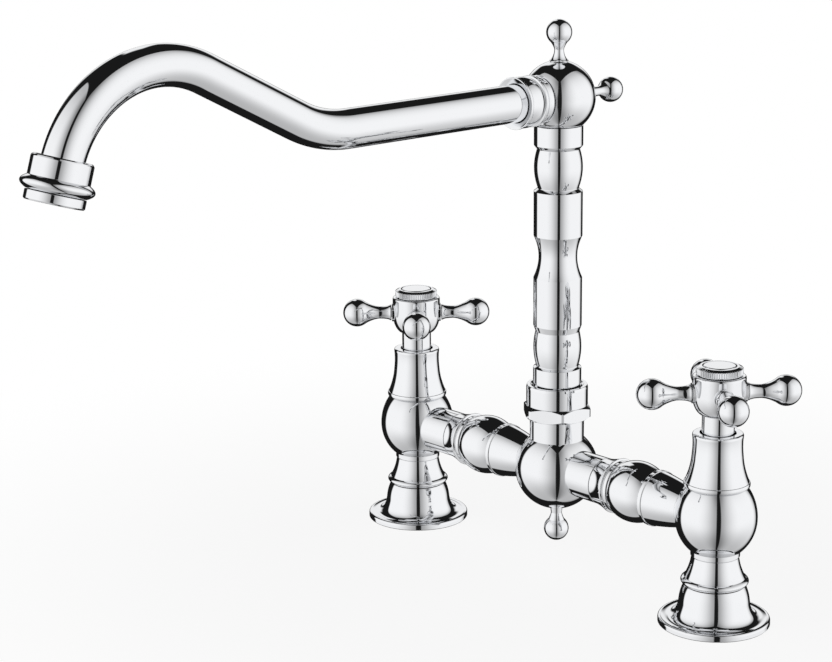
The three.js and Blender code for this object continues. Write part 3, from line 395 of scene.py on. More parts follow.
def polished_chrome(name, tint, roughness):
    """Chromium over nickel on brass, cast or turned and then buffed.

    It mirrors the room almost sharply. The buffing leaves faint waves some 20 mm long and patches that are a
    little duller.
    """
    material, tree = new_material(name)
    place = add_node(tree, "TexCoord").outputs["Object"]
    patches = add_node(tree, "TexNoise", {"Vector": place, "Scale": 70.0, "Detail": 3.0})
    spread = {"From Min": 0.3, "From Max": 0.7, "To Min": 0.6 * roughness, "To Max": 1.4 * roughness}
    dull = add_node(tree, "MapRange", {"Value": patches, **spread})
    waves = add_node(tree, "TexNoise", {"Vector": place, "Scale": 50.0, "Detail": 1.0})
    bump = add_node(tree, "Bump", {"Height": waves, "Strength": 0.25, "Distance": 0.03 * MM})
    look = {"Base Color": (*tint, 1), "Metallic": 1.0, "Roughness": dull, "Normal": bump}
    add_node(tree, "OutputMaterial", {"Surface": add_node(tree, "BsdfPrincipled", look)})
    return material


def shades(tint, darker):
    """The two ends of a mix: a darker shade of the tint, and the tint."""
    return {"A": (*(darker * part for part in tint), 1), "B": (*tint, 1)}


def turned_metal(name, tint, roughness):
    """Brass or stainless steel straight from the lathe: fine rings 0.4 mm apart, which spread the gloss."""
    material, tree = new_material(name)
    place = add_node(tree, "TexCoord").outputs["Object"]
    scale = 1 / (0.4 * MM) / 20  # a wave texture has 20 bands in a metre at a scale of 1
    ring_look = {"Vector": place, "Scale": scale, "Distortion": 0.4, "Detail": 1.0}
    rings = add_node(tree, "TexWave", ring_look, bands_direction="Z").outputs["Fac"]
    bump = add_node(tree, "Bump", {"Height": rings, "Strength": 0.4, "Distance": 0.01 * MM})
    spots = add_node(tree, "TexNoise", {"Vector": place, "Scale": 400.0, "Detail": 4.0})
    tone = add_node(tree, "Mix", {"Factor": spots, **shades(tint, 0.8)}, data_type="RGBA").outputs["Result"]
    look = {"Base Color": tone, "Metallic": 1.0, "Roughness": roughness, "Normal": bump}
    add_node(tree, "OutputMaterial", {"Surface": add_node(tree, "BsdfPrincipled", look)})
    return material


def moulded(name, tint, roughness, grain, depth):
    """Rubber, acetal or fired alumina: an even colour under a fine grain from the mould or the kiln."""
    material, tree = new_material(name)
    place = add_node(tree, "TexCoord").outputs["Object"]
    noise = add_node(tree, "TexNoise", {"Vector": place, "Scale": 1 / grain, "Detail": 5.0})
    bump = add_node(tree, "Bump", {"Height": noise, "Strength": 0.5, "Distance": depth})
    tone = add_node(tree, "Mix", {"Factor": noise, **shades(tint, 0.85)}, data_type="RGBA").outputs["Result"]
    look = {"Base Color": tone, "Roughness": roughness, "Normal": bump}
    add_node(tree, "OutputMaterial", {"Surface": add_node(tree, "BsdfPrincipled", look)})
    return material


def finish(slot):
    """The material of a slot of the record, made when it is first asked for."""
    chosen = bpy.context.scene.faucet.colours
    name, make, *look = {
        "chrome": ("polished_chrome_plate", polished_chrome, chosen.chrome, chosen.chrome_roughness),
        "brass": ("turned_brass", turned_metal, chosen.brass, 0.3),
        "steel": ("turned_stainless_steel", turned_metal, chosen.steel, 0.28),
        "black_rubber": ("moulded_epdm_rubber", moulded, chosen.rubber, 0.7, 0.5 * MM, 0.03 * MM),
        "alumina": ("fired_alumina", moulded, chosen.alumina, 0.25, 0.2 * MM, 0.004 * MM),
        "acetal": ("moulded_acetal", moulded, chosen.acetal, 0.45, 0.6 * MM, 0.01 * MM),
    }[slot]
    return bpy.data.materials.get(name) or make(name, *look)


# ---- Making meshes ----

LARGE, MEDIUM, SMALL = 96, 72, 48  # facets round a turned piece, by its size
CURVE_STEPS = 14  # lines in a curve
CORNER_STEPS = 4  # lines in a rounded corner
CORNER_ANGLE = math.radians(16)  # a profile's corners sharper than this are rounded
SHARP_ANGLE = math.radians(35)


class Outline:
    """A profile in (radius, height) that a piece is turned from."""

    def __init__(self, radius, height):
        self.points = [Vector((radius, height))]

    def line(self, *places):
        self.points += [Vector(place) for place in places]
        return self

    def out(self, radius):
        """A level line."""
        return self.line((radius, self.points[-1].y))

    def up(self, height):
        """An upright line."""
        return self.line((self.points[-1].x, height))

    def curve(self, *controls, steps=CURVE_STEPS):
        """A Bezier curve from the last point, through its controls, to its last point."""
        poles = [self.points[-1], *(Vector(place) for place in controls)]
        order = len(poles) - 1
        for i in range(1, steps + 1):
            t = i / steps
            weights = [math.comb(order, k) * t**k * (1 - t) ** (order - k) for k in range(order + 1)]
            self.points.append(sum((pole * w for pole, w in zip(poles, weights)), Vector((0, 0))))
        return self

    def swell(self, widest, radius, height, steps=CURVE_STEPS):
        """A curve to this radius and height that is widest, or narrowest, half way."""
        start = self.points[-1]
        control = (2 * widest - (start.x + radius) / 2, (start.y + height) / 2)
        return self.curve(control, (radius, height), steps=steps)

    def arc(self, height, reach, start, end, steps=2 * CURVE_STEPS):
        """Part of an ellipse about the axis. Its reach is its half width and half height."""
        for i in range(steps + 1):
            now = start + (end - start) * i / steps
            self.points.append(Vector((reach[0] * math.cos(now), height + reach[1] * math.sin(now))))
        return self

    def ease(self, height, size, steps):
        """An upright line that ends in a rounded edge."""
        radius = self.points[-1].x
        return self.up(height - size).curve((radius, height), (radius - size, height), steps=steps)

    def knob(self, middle, ball, cheek):
        """From the end of a neck onto a ball, at the angle of its cheek, and over it to the axis."""
        neck, start = self.points[-1], middle + ball * math.sin(cheek)
        self.curve((neck.x + 0.4 * MM, (neck.y + start) / 2), (ball * math.cos(cheek), start))
        return self.arc(middle, (ball, ball), cheek, math.pi / 2)

    def rounded(self, radius):
        """The points, with sharp corners rounded. A profile that leaves the axis is closed on itself."""
        points = [p for i, p in enumerate(self.points) if i == 0 or (p - self.points[i - 1]).length > TINY]
        closed = points[0].x > TINY
        if closed and (points[0] - points[-1]).length < TINY:
            points.pop()
        made = []
        for i, here in enumerate(points):
            if not closed and i in (0, len(points) - 1):
                made.append(here)
                continue
            before = points[i - 1] - here
            after = points[(i + 1) % len(points)] - here
            corner = math.pi - before.angle(after)
            if corner < CORNER_ANGLE:
                made.append(here)
                continue
            back = min(radius * math.tan(corner / 2), 0.45 * before.length, 0.45 * after.length)
            start = here + before.normalized() * back
            end = here + after.normalized() * back
            for k in range(CORNER_STEPS + 1):
                t = k / CORNER_STEPS
                made.append(start * (1 - t) ** 2 + here * 2 * t * (1 - t) + end * t**2)
        return made, closed


def turned(outline, segments, radius=None, shape=None):
    """A closed mesh turned about Z. shape, if given, changes a radius by its angle."""
    if radius is None:
        radius = bpy.context.scene.faucet.layout.rounding
    points, closed = outline.rounded(radius)
    work = bmesh.new()
    rings = []
    for point in points:
        if point.x < TINY:
            rings.append([work.verts.new((0, 0, point.y))])
            continue
        ring = []
        for k in range(segments):
            angle = 2 * math.pi * k / segments
            reach = shape(point.x, angle) if shape else point.x
            ring.append(work.verts.new((reach * math.cos(angle), reach * math.sin(angle), point.y)))
        rings.append(ring)
    pairs = list(zip(rings, rings[1:]))
    if closed:
        pairs.append((rings[-1], rings[0]))
    for low, high in pairs:
        for k in range(segments):
            ahead = (k + 1) % segments
            corners = [low[k % len(low)], low[ahead % len(low)], high[ahead % len(high)], high[k % len(high)]]
            work.faces.new(list(dict.fromkeys(corners)))
    return finished_mesh(work)


def finished_mesh(work):
    """A mesh from a bmesh, with its faces turned outwards."""
    bmesh.ops.recalc_face_normals(work, faces=work.faces)
    mesh = bpy.data.meshes.new("piece")
    work.to_mesh(mesh)
    work.free()
    return mesh


def new_object(name, data):
    """An object in the scene."""
    made = bpy.data.objects.new(name, data)
    bpy.context.scene.collection.objects.link(made)
    return made


def rod(radius, start, end, segments=MEDIUM):
    """A plain bar along Z, to be joined or cut with."""
    return turned(Outline(0, start).out(radius).up(end).out(0), segments, 0)


def moved(mesh, *matrices):
    """The mesh after these matrices, the first one first."""
    for matrix in matrices:
        mesh.transform(matrix)
    return mesh


def merged(meshes):
    """Several meshes that don't touch, as one."""
    work = bmesh.new()
    for mesh in meshes:
        work.from_mesh(mesh)
        bpy.data.meshes.remove(mesh)
    return finished_mesh(work)


def combined(first, *steps):
    """The first mesh after boolean steps, each an operation and a mesh."""
    blanks = [new_object("blank", mesh) for mesh in (first, *(mesh for _, mesh in steps))]
    for (operation, _), blank in zip(steps, blanks[1:]):
        step = blanks[0].modifiers.new(operation, "BOOLEAN")
        step.operation, step.solver, step.object = operation, "MANIFOLD", blank
    depsgraph = bpy.context.evaluated_depsgraph_get()
    result = bpy.data.meshes.new_from_object(blanks[0].evaluated_get(depsgraph))
    for blank in blanks:
        mesh = blank.data
        bpy.data.objects.remove(blank)
        bpy.data.meshes.remove(mesh)
    work = bmesh.new()
    work.from_mesh(result)
    bmesh.ops.remove_doubles(work, verts=work.verts, dist=1e-6)
    bmesh.ops.dissolve_degenerate(work, edges=work.edges, dist=1e-7)
    bpy.data.meshes.remove(result)
    return finished_mesh(work)


def show(node, mesh, body, slot="chrome"):
    """Shows a mesh in place of a CAD node, on the same body and with the finish of its slot."""
    piece = new_object(f"shown_{node}", mesh)
    mesh.name = piece.name
    mesh.materials.clear()
    mesh.materials.append(finish(slot))
    mesh.shade_smooth()
    mesh.set_sharp_from_angle(angle=SHARP_ANGLE)
    normals = piece.modifiers.new("Even normals", "WEIGHTED_NORMAL")
    normals.keep_sharp = True
    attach(piece, body)
    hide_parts(node)
    return piece


def shift(x=0.0, y=0.0, z=0.0):
    return Matrix.Translation((x, y, z))


def turn(degrees, axis):
    return Matrix.Rotation(math.radians(degrees), 4, axis)


ALONG_X = turn(90, "Y")
ALONG_Y = turn(-90, "X")
ALONG_MINUS_Y = turn(90, "X")
UPSIDE_DOWN = turn(180, "X")


def sides(layout):
    """Name and axis of each pillar."""
    return (("left", -layout.half_span), ("right", layout.half_span))


def show_on_pillars(s, *pieces):
    """Shows pieces on the axis of each pillar. Each has an ending, an outline, a slot and a rounding."""
    for side, x in sides(s.layout):
        for ending, outline, slot, rounding in pieces:
            show(f"{side}_{ending}", moved(turned(outline, LARGE, rounding), shift(x)), FIXED, slot)


def flat_reach(ball_radius, seat_radius):
    """How far from a ball's middle lies a flat of this radius."""
    return math.sqrt(ball_radius**2 - seat_radius**2)


# ---- Outlines of the pillar ----

PAST = 1 * MM  # how far a cutter reaches past the faces that it cuts
BONNET_WALL = 1.8 * MM  # from the bonnet's top down to its hollow
SEAL_WIDTH = 1.8 * MM
FINIAL_HOLE = 2 * MM
ARM_WATERWAY = 4.6 * MM
KNURL_DEPTH = 0.5 * MM
CORNER_FLAT = 0.35 * MM  # how far the hexagon reaches past its turned blank, which cuts its corners flat
BAND_RISE = 0.6 * MM  # how far a plain band of the riser runs on before it slopes to the next barrel


def foot_outline(s):
    foot, rim, bell = s.foot, s.foot.rim_radius, s.foot.bell_radius
    recess = foot.gasket_height + s.layout.seat_gap
    wall, shoulder = 1.5 * MM, 10.4 * MM
    return (
        Outline(rim - 0.4 * MM, 0).line((rim, 0.4 * MM)).up(foot.rim_height - 1.3 * MM)
        .curve((rim, foot.rim_height), (rim - 1.5 * MM, foot.rim_height), steps=8)
        .curve(
            (bell + 4.1 * MM, foot.disc_height), (bell + 0.7 * MM, foot.disc_height + 1.9 * MM),
            (bell, shoulder), steps=36,
        )
        .curve((bell - 0.4 * MM, 15 * MM), (foot.top_radius, foot.height))
        .out(s.shank.radius + s.layout.fit_gap).up(foot.height - wall).line((bell - wall, shoulder))
        .up(recess + wall).line((bell + 1.8 * MM, recess)).out(rim - 2.6 * MM).up(0)
    )


def gasket_outline(s):
    outer, inner = s.foot.rim_radius - 3 * MM, s.foot.bell_radius + 2.2 * MM
    return Outline(inner, 0).out(outer).up(s.foot.gasket_height).out(inner)


def shank_outline(s):
    """The threads stand as rings, outside and in the inlet."""
    shank, pitch, depth = s.shank, s.shank.thread_pitch, s.shank.thread_depth
    inlet, shoulder = shank.inlet_radius, s.foot.height
    outline = Outline(inlet, shank.start).out(shank.radius)
    level = shank.start + pitch / 2
    while level + pitch < shoulder:
        outline.line((shank.radius - depth, level), (shank.radius, level + pitch / 2))
        level += pitch
    outline.line((shank.radius, shoulder)).out(shank.tenon_radius).up(shoulder + shank.tenon_length)
    outline.out(s.layout.waterway).up(shank.inlet_top + 1.5 * MM).line((inlet, shank.inlet_top))
    level = shank.inlet_top - pitch / 2
    while level - pitch > shank.start:
        outline.line((inlet + depth, level), (inlet, level - pitch / 2))
        level -= pitch
    return outline


def valve_body_outline(s):
    body, waist, axis, seat = s.body, s.body.waist_radius, s.layout.bridge_height, s.foot.top_radius
    foot = s.foot.height + s.layout.seat_gap
    bore = s.shank.tenon_radius + s.layout.fit_gap
    bead_top = foot + body.bead_height
    collar_top = body.collar_foot + body.collar_height
    low = math.asin((collar_top - axis) / body.bulb_below)
    high = math.asin((body.top - axis) / body.bulb_above)
    return (
        Outline(bore, foot).out(seat).swell(body.bead_radius, seat, bead_top)
        .curve(
            (waist + 2.2 * MM, bead_top + 1.6 * MM), (waist + 0.5 * MM, bead_top + 5.2 * MM),
            (waist, body.collar_foot), steps=24,
        )
        .line((body.collar_radius, body.collar_foot + 0.4 * MM)).up(collar_top)
        .arc(axis, (body.bulb_radius, body.bulb_below), low, 0)
        .arc(axis, (body.bulb_radius, body.bulb_above), 0, high)
        .line((body.cavity_radius, body.top)).up(body.cavity_floor).out(s.layout.waterway)
        .up(foot + s.shank.tenon_length).out(bore)
    )


def bonnet_outline(s):
    bonnet, lip, neck, crown = s.bonnet, s.bonnet.lip_radius, s.bonnet.neck_radius, s.bonnet.crown_radius
    base = s.body.top + s.layout.seat_gap
    lip_top = base + 2.2 * MM
    middle = lip_top + 12 * MM
    top = s.body.top + bonnet.height
    room = s.body.cavity_radius + 2.1 * MM
    return (
        Outline(room, base).out(bonnet.seam_radius)
        .curve((lip, base), (lip, base + 1.1 * MM), steps=6)
        .curve((lip, lip_top), (lip - 0.5 * MM, lip_top), steps=6)
        .curve((neck + 0.8 * MM, (lip_top + middle) / 2), (neck + 0.4 * MM, middle), steps=20)
        .curve((neck - 0.2 * MM, (middle + top) / 2), (crown, top - 1.2 * MM), steps=20)
        .ease(top, 1.2 * MM, 8).out(bonnet.mouth_radius).up(top - BONNET_WALL)
        .line((bonnet.inside_radius, top - 2.2 * MM)).up(middle).line((room, base + 5.4 * MM))
    )


# ---- Outlines of the handle ----


def hub_outline(s):
    handle, axis, hub = s.handle, s.layout.handle_height, s.handle.hub_radius
    foot, top = axis - handle.hub_below, axis + handle.hub_above
    socket, screw, recess = 4.1 * MM, 2.3 * MM, 6.2 * MM
    return (
        Outline(socket, s.body.top + s.bonnet.height - BONNET_WALL).out(handle.skirt_radius).up(foot)
        .curve((hub - 2.4 * MM, foot + 0.2 * MM), (hub, foot + 4 * MM), (hub, axis - 0.6 * MM), steps=20)
        .ease(top, 1.3 * MM, 8).out(recess).up(top - 4.8 * MM).out(screw).up(axis - 1.3 * MM).out(socket)
    )


def arm_outline(s):
    handle, neck, tenon = s.handle, s.handle.neck_radius, 2.4 * MM
    root = handle.boss_reach + s.layout.seat_gap
    return (
        Outline(0, handle.boss_reach - 5.6 * MM).out(tenon).up(root).out(handle.root_radius)
        .up(root + 0.5 * MM)
        .curve((neck, root + 1.8 * MM), (neck, handle.neck_at))
        .knob(handle.knob_at, handle.knob_radius, math.radians(-40))
    )


def hub_seat(s):
    """Height at which the index ring and the button rest on the hub."""
    return s.layout.handle_height + s.handle.hub_above + s.layout.seat_gap


def index_ring_mesh(s):
    handle, outer, base = s.handle, s.handle.ring_radius, hub_seat(s)
    top = base + handle.ring_height
    low, high = base + 0.35 * MM, top - 0.9 * MM
    outline = (
        Outline(handle.ring_inner, base).out(outer - 0.5 * MM).up(low - 0.1 * MM)
        .line((outer, low + 0.1 * MM)).up(high - 0.1 * MM)
        .line((outer - 0.3 * MM, high + 0.1 * MM), (outer - 1.9 * MM, top)).out(handle.ring_inner)
    )

    def knurl(radius, angle):
        if radius < outer - 0.2 * MM:
            return radius
        return radius - KNURL_DEPTH * (1 - abs(math.sin(angle * handle.ridges / 2)))

    return turned(outline, handle.ridges * 6, 0.05 * MM, knurl)


def button_outline(s):
    base, plug = hub_seat(s), 5.8 * MM
    top = base + s.handle.button_height
    return (
        Outline(0, base - 1.8 * MM).out(plug).up(base).out(s.handle.button_radius).ease(top, 0.8 * MM, 6)
        .line((0, top + 0.05 * MM))
    )


# ---- Outlines of the bridge, along Z from the axis of the body on its left ----


def bridge_places(s):
    """Where the union collar starts and ends, and where the seal starts."""
    gap = s.layout.seat_gap
    start = s.bridge.spigot_end + gap
    return start, start + s.bridge.collar_length, s.bridge.spigot_end + s.bridge.tenon_length + gap


def union_collar_outline(s):
    bridge, ring, root = s.bridge, s.bridge.ring_radius, s.bridge.spigot_radius
    start, end, _ = bridge_places(s)
    bore = bridge.tenon_radius + s.layout.fit_gap
    flare_end = start + bridge.flare_length
    band_end = flare_end + bridge.band_length
    return (
        Outline(bore, start).out(root)
        .curve((root + 0.4 * MM, (start + flare_end) / 2), (bridge.flare_radius, flare_end), steps=18)
        .up(band_end).line((ring - 0.4 * MM, band_end + 0.4 * MM), (ring, band_end + 1.2 * MM))
        .up(end).out(bore)
    )


def bridge_sleeve_outline(s, body_radius):
    bridge, band, gap = s.bridge, s.bridge.step_radius, s.layout.seat_gap
    _, collar_end, seal_start = bridge_places(s)
    start = collar_end + gap
    ball_end = start + bridge.ball_length
    band_start = ball_end + bridge.valley_length
    band_end = band_start + bridge.step_width
    tip = s.layout.half_span - boss_face(s, body_radius) - gap
    plug = bridge.socket_radius - s.layout.fit_gap
    return (
        Outline(s.layout.waterway, seal_start + SEAL_WIDTH + gap).out(bridge.tenon_radius).up(start)
        .out(bridge.ring_radius).swell(bridge.ball_radius, bridge.valley_radius, ball_end, steps=26)
        .up(ball_end + 0.4 * MM).line((band, band_start)).up(band_end - 1.2 * MM)
        .line((band - 0.4 * MM, band_end - 0.9 * MM))
        .curve((band - bridge.step_fall, (band_end + tip) / 2), (bridge.tip_radius, tip), steps=26)
        .out(plug).up(tip + bridge.socket_depth - gap).out(s.layout.waterway)
    )


def boss_face(s, body_radius):
    """How far out the socket's boss stands from the axis of a body of this radius."""
    return flat_reach(body_radius, s.bridge.boss_radius) + s.bridge.boss_proud


def at_bridge(s, mesh):
    return moved(mesh, ALONG_X, shift(z=s.layout.bridge_height))


def port_root(s):
    return s.body.cavity_radius + 2 * MM


def spigot(s):
    """The spigot of a body, towards +X, with the tenon that its union collar screws on."""
    bridge = s.bridge
    root = port_root(s)
    outline = (
        Outline(0, root).out(bridge.spigot_radius).up(bridge.spigot_end).out(bridge.tenon_radius)
        .up(bridge.spigot_end + bridge.tenon_length).out(0)
    )
    return at_bridge(s, turned(outline, MEDIUM))


def spigot_bore(s):
    end = s.bridge.spigot_end + s.bridge.tenon_length + PAST
    return at_bridge(s, rod(s.layout.waterway, 0, end, SMALL))


def socket_boss(s, body_radius):
    outline = Outline(0, -port_root(s)).out(s.bridge.boss_radius).up(-boss_face(s, body_radius)).out(0)
    return at_bridge(s, turned(outline, MEDIUM))


def socket_bore(s, body_radius):
    bridge, face = s.bridge, -boss_face(s, body_radius)
    outline = (
        Outline(0, face - 8 * MM).out(bridge.boss_radius + 0.6 * MM).up(face - 0.01 * MM)
        .out(bridge.socket_radius).up(face + bridge.socket_depth).out(s.layout.waterway).up(0).out(0)
    )
    return at_bridge(s, turned(outline, MEDIUM, 0))


# ---- Outlines of the centre, the riser and the head ----


def centre_outline(s):
    centre, ball, seat = s.centre, s.centre.ball_radius, s.head.finial_base
    drop = centre.ball_height - flat_reach(ball, seat)
    low, high = -math.acos(seat / ball), math.acos(centre.neck_radius / ball)
    return (
        Outline(FINIAL_HOLE, drop).out(seat).arc(centre.ball_height, (ball, ball), low, high, steps=60)
        .line((centre.neck_radius, centre.thread_top)).out(centre.bore_radius)
        .up(s.layout.bridge_height + 8 * MM)
        .curve((12 * MM, s.layout.bridge_height), (s.layout.waterway, drop + 9 * MM))
        .line((FINIAL_HOLE, drop + 8 * MM))
    )


def union_nut_mesh(s):
    centre, corner, top = s.centre, s.centre.nut_corner, s.centre.nut_top
    foot, hex_top = centre.hex_foot, centre.hex_foot + centre.hex_height
    flat = corner * math.cos(math.radians(30))
    chamfered = (
        Outline(0, foot).out(flat).line((corner, foot + centre.hex_chamfer)).up(hex_top - centre.hex_chamfer)
        .line((flat - 0.4 * MM, hex_top)).out(0)
    )
    hexagon = rod(corner + CORNER_FLAT, foot - PAST, hex_top + PAST, 6)
    moved(hexagon, Matrix.Rotation(centre.corner_angle, 4, "Z"))
    collar = (
        Outline(0, hex_top - 0.4 * MM).out(centre.nut_radius).up(top - 1.3 * MM)
        .line((centre.nut_radius - 0.4 * MM, top)).out(0)
    )
    inside = (
        Outline(0, foot - PAST).out(centre.neck_radius + s.layout.fit_gap).up(s.riser.base + 1.6 * MM)
        .out(centre.nut_hole).up(top - centre.nut_dish).line((centre.nut_hole + 1 * MM, top)).up(top + PAST)
        .out(0)
    )
    return combined(
        turned(chamfered, LARGE, 0.12 * MM),
        ("INTERSECT", hexagon),
        ("UNION", turned(collar, LARGE)),
        ("DIFFERENCE", turned(inside, LARGE, 0.1 * MM)),
    )


# Lengths along the column from the flange up, in millimetres, spread over the height that the riser has.
RISER_PATTERN = (12.8, 1.4, 17.1, 2.9, 23.1, 20.3, 20.6, 2.1, 18.5, 1.8, 9.3)


def riser_outline(s):
    riser, radius, spigot = s.riser, s.riser.radius, s.riser.spigot_radius
    spread = (riser.top - riser.base) / sum(RISER_PATTERN)
    level = [riser.base]
    for length in RISER_PATTERN:
        level.append(level[-1] + length * spread)
    outline = Outline(riser.bore, riser.spigot_foot).out(spigot)
    for rise in (4 * MM, 15 * MM):  # the grooves of the seals
        groove = riser.spigot_foot + rise
        outline.up(groove).out(spigot - 1.35 * MM).up(groove + 2.2 * MM).out(spigot)
    outline.up(riser.flange_foot).out(riser.flange_radius).up(level[0]).out(radius).up(level[1] + BAND_RISE)

    def barrel(end, i):
        outline.line((end, level[i]))
        outline.swell(riser.barrel_radius, end + riser.barrel_rise, level[i + 1], steps=30)

    barrel(riser.low_barrel_end, 2)
    outline.line((radius, level[4])).up(level[5]).swell(riser.waist_radius, radius, level[6], steps=30)
    outline.line((radius, level[7] + BAND_RISE))
    barrel(riser.high_barrel_end, 8)
    return outline.line((radius, level[10])).up(riser.top).out(riser.bore)


def ball_head_mesh(s):
    head, ball, height = s.head, s.head.radius, s.layout.arm_height
    seat, face = flat_reach(ball, head.seat_radius), flat_reach(ball, head.face_radius)
    tenon, tenon_foot = s.riser.bore - s.layout.fit_gap, s.riser.top - 8 * MM
    hole_floor = seat - 4.4 * MM
    outside = (
        Outline(0, tenon_foot).out(tenon).up(height - face).out(head.face_radius)
        .arc(height, (ball, ball), -math.asin(face / ball), math.asin(seat / ball), steps=60)
        .line((0, height + seat))
    )
    front = (
        Outline(0, 0).out(ARM_WATERWAY).up(face - head.socket_depth).out(head.socket_radius).up(face)
        .out(2 * ball).up(2 * ball).out(0)
    )
    back = Outline(0, hole_floor).out(FINIAL_HOLE).up(seat).out(2 * ball).up(2 * ball).out(0)
    up = shift(z=height)
    return combined(
        turned(outside, LARGE, 0.1 * MM),
        ("DIFFERENCE", rod(ARM_WATERWAY, tenon_foot - PAST, height, SMALL)),
        ("DIFFERENCE", moved(turned(front, MEDIUM, 0), ALONG_MINUS_Y, up)),
        ("DIFFERENCE", moved(turned(back, SMALL, 0), ALONG_Y, up)),
        ("DIFFERENCE", moved(rod(FINIAL_HOLE, hole_floor, seat + PAST, SMALL), up)),
    )


def finial_outline(s, base, neck, reach):
    tenon = 1.7 * MM
    return (
        Outline(0, -4 * MM).out(tenon).up(0).out(base).up(0.25 * MM)
        .curve((neck + 0.2 * MM, 1.8 * MM), (neck, reach - 8 * MM))
        .knob(reach, s.head.finial_ball, math.radians(-50))
    )


# ---- Outlines of the spout ----


def spout_collar_outline(s):
    spout, head, radius, length = s.spout, s.head, s.spout.collar_radius, s.spout.collar_length
    groove = radius - 1.2 * MM
    floor = length - spout.tube_insert - s.layout.seat_gap
    return (
        Outline(ARM_WATERWAY, s.layout.seat_gap - head.socket_depth)
        .out(head.socket_radius - s.layout.fit_gap).up(0).out(groove).up(3 * MM)
        .line((radius - 0.3 * MM, 3.4 * MM)).up(4.2 * MM).line((groove, 4.6 * MM), (radius, 5.2 * MM))
        .up(6.2 * MM).line((groove + 0.2 * MM, 6.6 * MM))
        .curve((radius + 0.6 * MM, length / 2 + 2 * MM), (groove + 0.6 * MM, length - 1.9 * MM), steps=20)
        .line((groove, length - 1.6 * MM), (radius + 0.1 * MM, length - 1.1 * MM)).up(length)
        .out(spout.tube_radius + 2.9 * MM).line((spout.tube_radius + s.layout.fit_gap, length - 1.2 * MM))
        .up(floor).line((ARM_WATERWAY, floor - 1 * MM))
    )


def spout_route(s, steps=10):
    """Points and headings along the tube's axis, in the plane x = 0, from the swivel's axis at z = 0."""
    spout = s.spout
    face = flat_reach(s.head.radius, s.head.face_radius) + s.layout.seat_gap
    place = Vector((0, -face - spout.collar_length + spout.tube_insert, 0))
    heading = 0.0
    route = [(place.copy(), heading)]

    def straight(distance, parts):
        nonlocal place
        ahead = Vector((0, -math.cos(heading), math.sin(heading)))
        for _ in range(parts):
            place = place + ahead * distance / parts
            route.append((place.copy(), heading))

    def bend(radius, amount, parts):
        nonlocal place, heading
        side = math.copysign(1, amount)
        start, first = place.copy(), heading
        for i in range(1, parts + 1):
            now = first + amount * i / parts
            forward = side * radius * (math.sin(now) - math.sin(first))
            up = side * radius * (math.cos(first) - math.cos(now))
            place = start + Vector((0, -forward, up))
            heading = now
            route.append((place.copy(), heading))

    straight(spout.level_reach + place.y, 2 * steps)
    bend(spout.rise_bend, spout.rise_angle, 2 * steps)
    straight(spout.rise_length, steps)
    bend(spout.swan_bend, -spout.swan_angle, 6 * steps)
    straight(spout.tail_length, 2)
    return route


def spout_tube_mesh(s, segments=64):
    route = spout_route(s)
    work = bmesh.new()

    def wall(radius):
        rings = []
        for place, heading in route:
            across = Vector((0, math.sin(heading), math.cos(heading)))
            ring = []
            for k in range(segments):
                angle = 2 * math.pi * k / segments
                spoke = Vector((1, 0, 0)) * math.cos(angle) + across * math.sin(angle)
                ring.append(work.verts.new(place + radius * spoke))
            rings.append(ring)
        return rings

    def strip(low, high):
        for k in range(segments):
            ahead = (k + 1) % segments
            work.faces.new([low[k], low[ahead], high[ahead], high[k]])

    outer, inner = wall(s.spout.tube_radius), wall(s.spout.tube_radius - s.spout.tube_wall)
    for rings in (outer, inner):
        for low, high in zip(rings, rings[1:]):
            strip(low, high)
    strip(outer[0], inner[0])
    strip(outer[-1], inner[-1])
    return moved(finished_mesh(work), shift(z=s.layout.arm_height))


def tube_in_outlet(s):
    """How far the tube goes into the outlet's collar."""
    return 3 * MM + s.spout.tail_length


def outlet_matrix(s):
    """Places a piece drawn along Z on the tube's end, with z = 0 at the rim of the outlet's collar."""
    place, heading = spout_route(s)[-1]
    stream = Vector((0, -math.cos(heading), math.sin(heading)))
    start = place - stream * tube_in_outlet(s) + Vector((0, 0, s.layout.arm_height))
    return Matrix.Translation(start) @ Vector((0, 0, 1)).rotation_difference(stream).to_matrix().to_4x4()


def outlet_ends(s):
    """Where the outlet's bead ends, and where the aerator in it starts."""
    end = s.spout.sleeve_length + s.spout.bead_length
    return end, end - 4.4 * MM


def outlet_collar_outline(s):
    spout, radius = s.spout, s.spout.sleeve_radius
    end, _ = outlet_ends(s)
    bulge = radius + 2 * spout.bead_proud
    bore = spout.tube_radius + 2 * s.layout.fit_gap
    washer = tube_in_outlet(s) + SEAL_WIDTH
    return (
        Outline(bore, 0).out(radius - 0.9 * MM).line((radius - 0.3 * MM, 0.5 * MM), (radius, 1.1 * MM))
        .up(spout.sleeve_length)
        .curve((bulge, (spout.sleeve_length + end) / 2), (radius - 0.4 * MM, end), steps=20)
        .out(spout.thread_radius + s.layout.fit_gap).up(washer - 0.3 * MM).line((bore, washer - 0.6 * MM))
    )


def aerator_housing_outline(s):
    thread, gap = s.spout.thread_radius, s.layout.seat_gap
    bead_end, start = outlet_ends(s)
    foot = bead_end + gap
    end = foot + s.spout.skirt_length
    skirt, mouth, screen = s.spout.sleeve_radius - gap, thread - 1.7 * MM, thread - 1 * MM
    return (
        Outline(screen, start).out(thread).up(foot).out(skirt).up(end - 0.6 * MM)
        .line((skirt - 0.5 * MM, end)).out(mouth).line((mouth - 0.4 * MM, start + 1.8 * MM)).out(screen)
    )


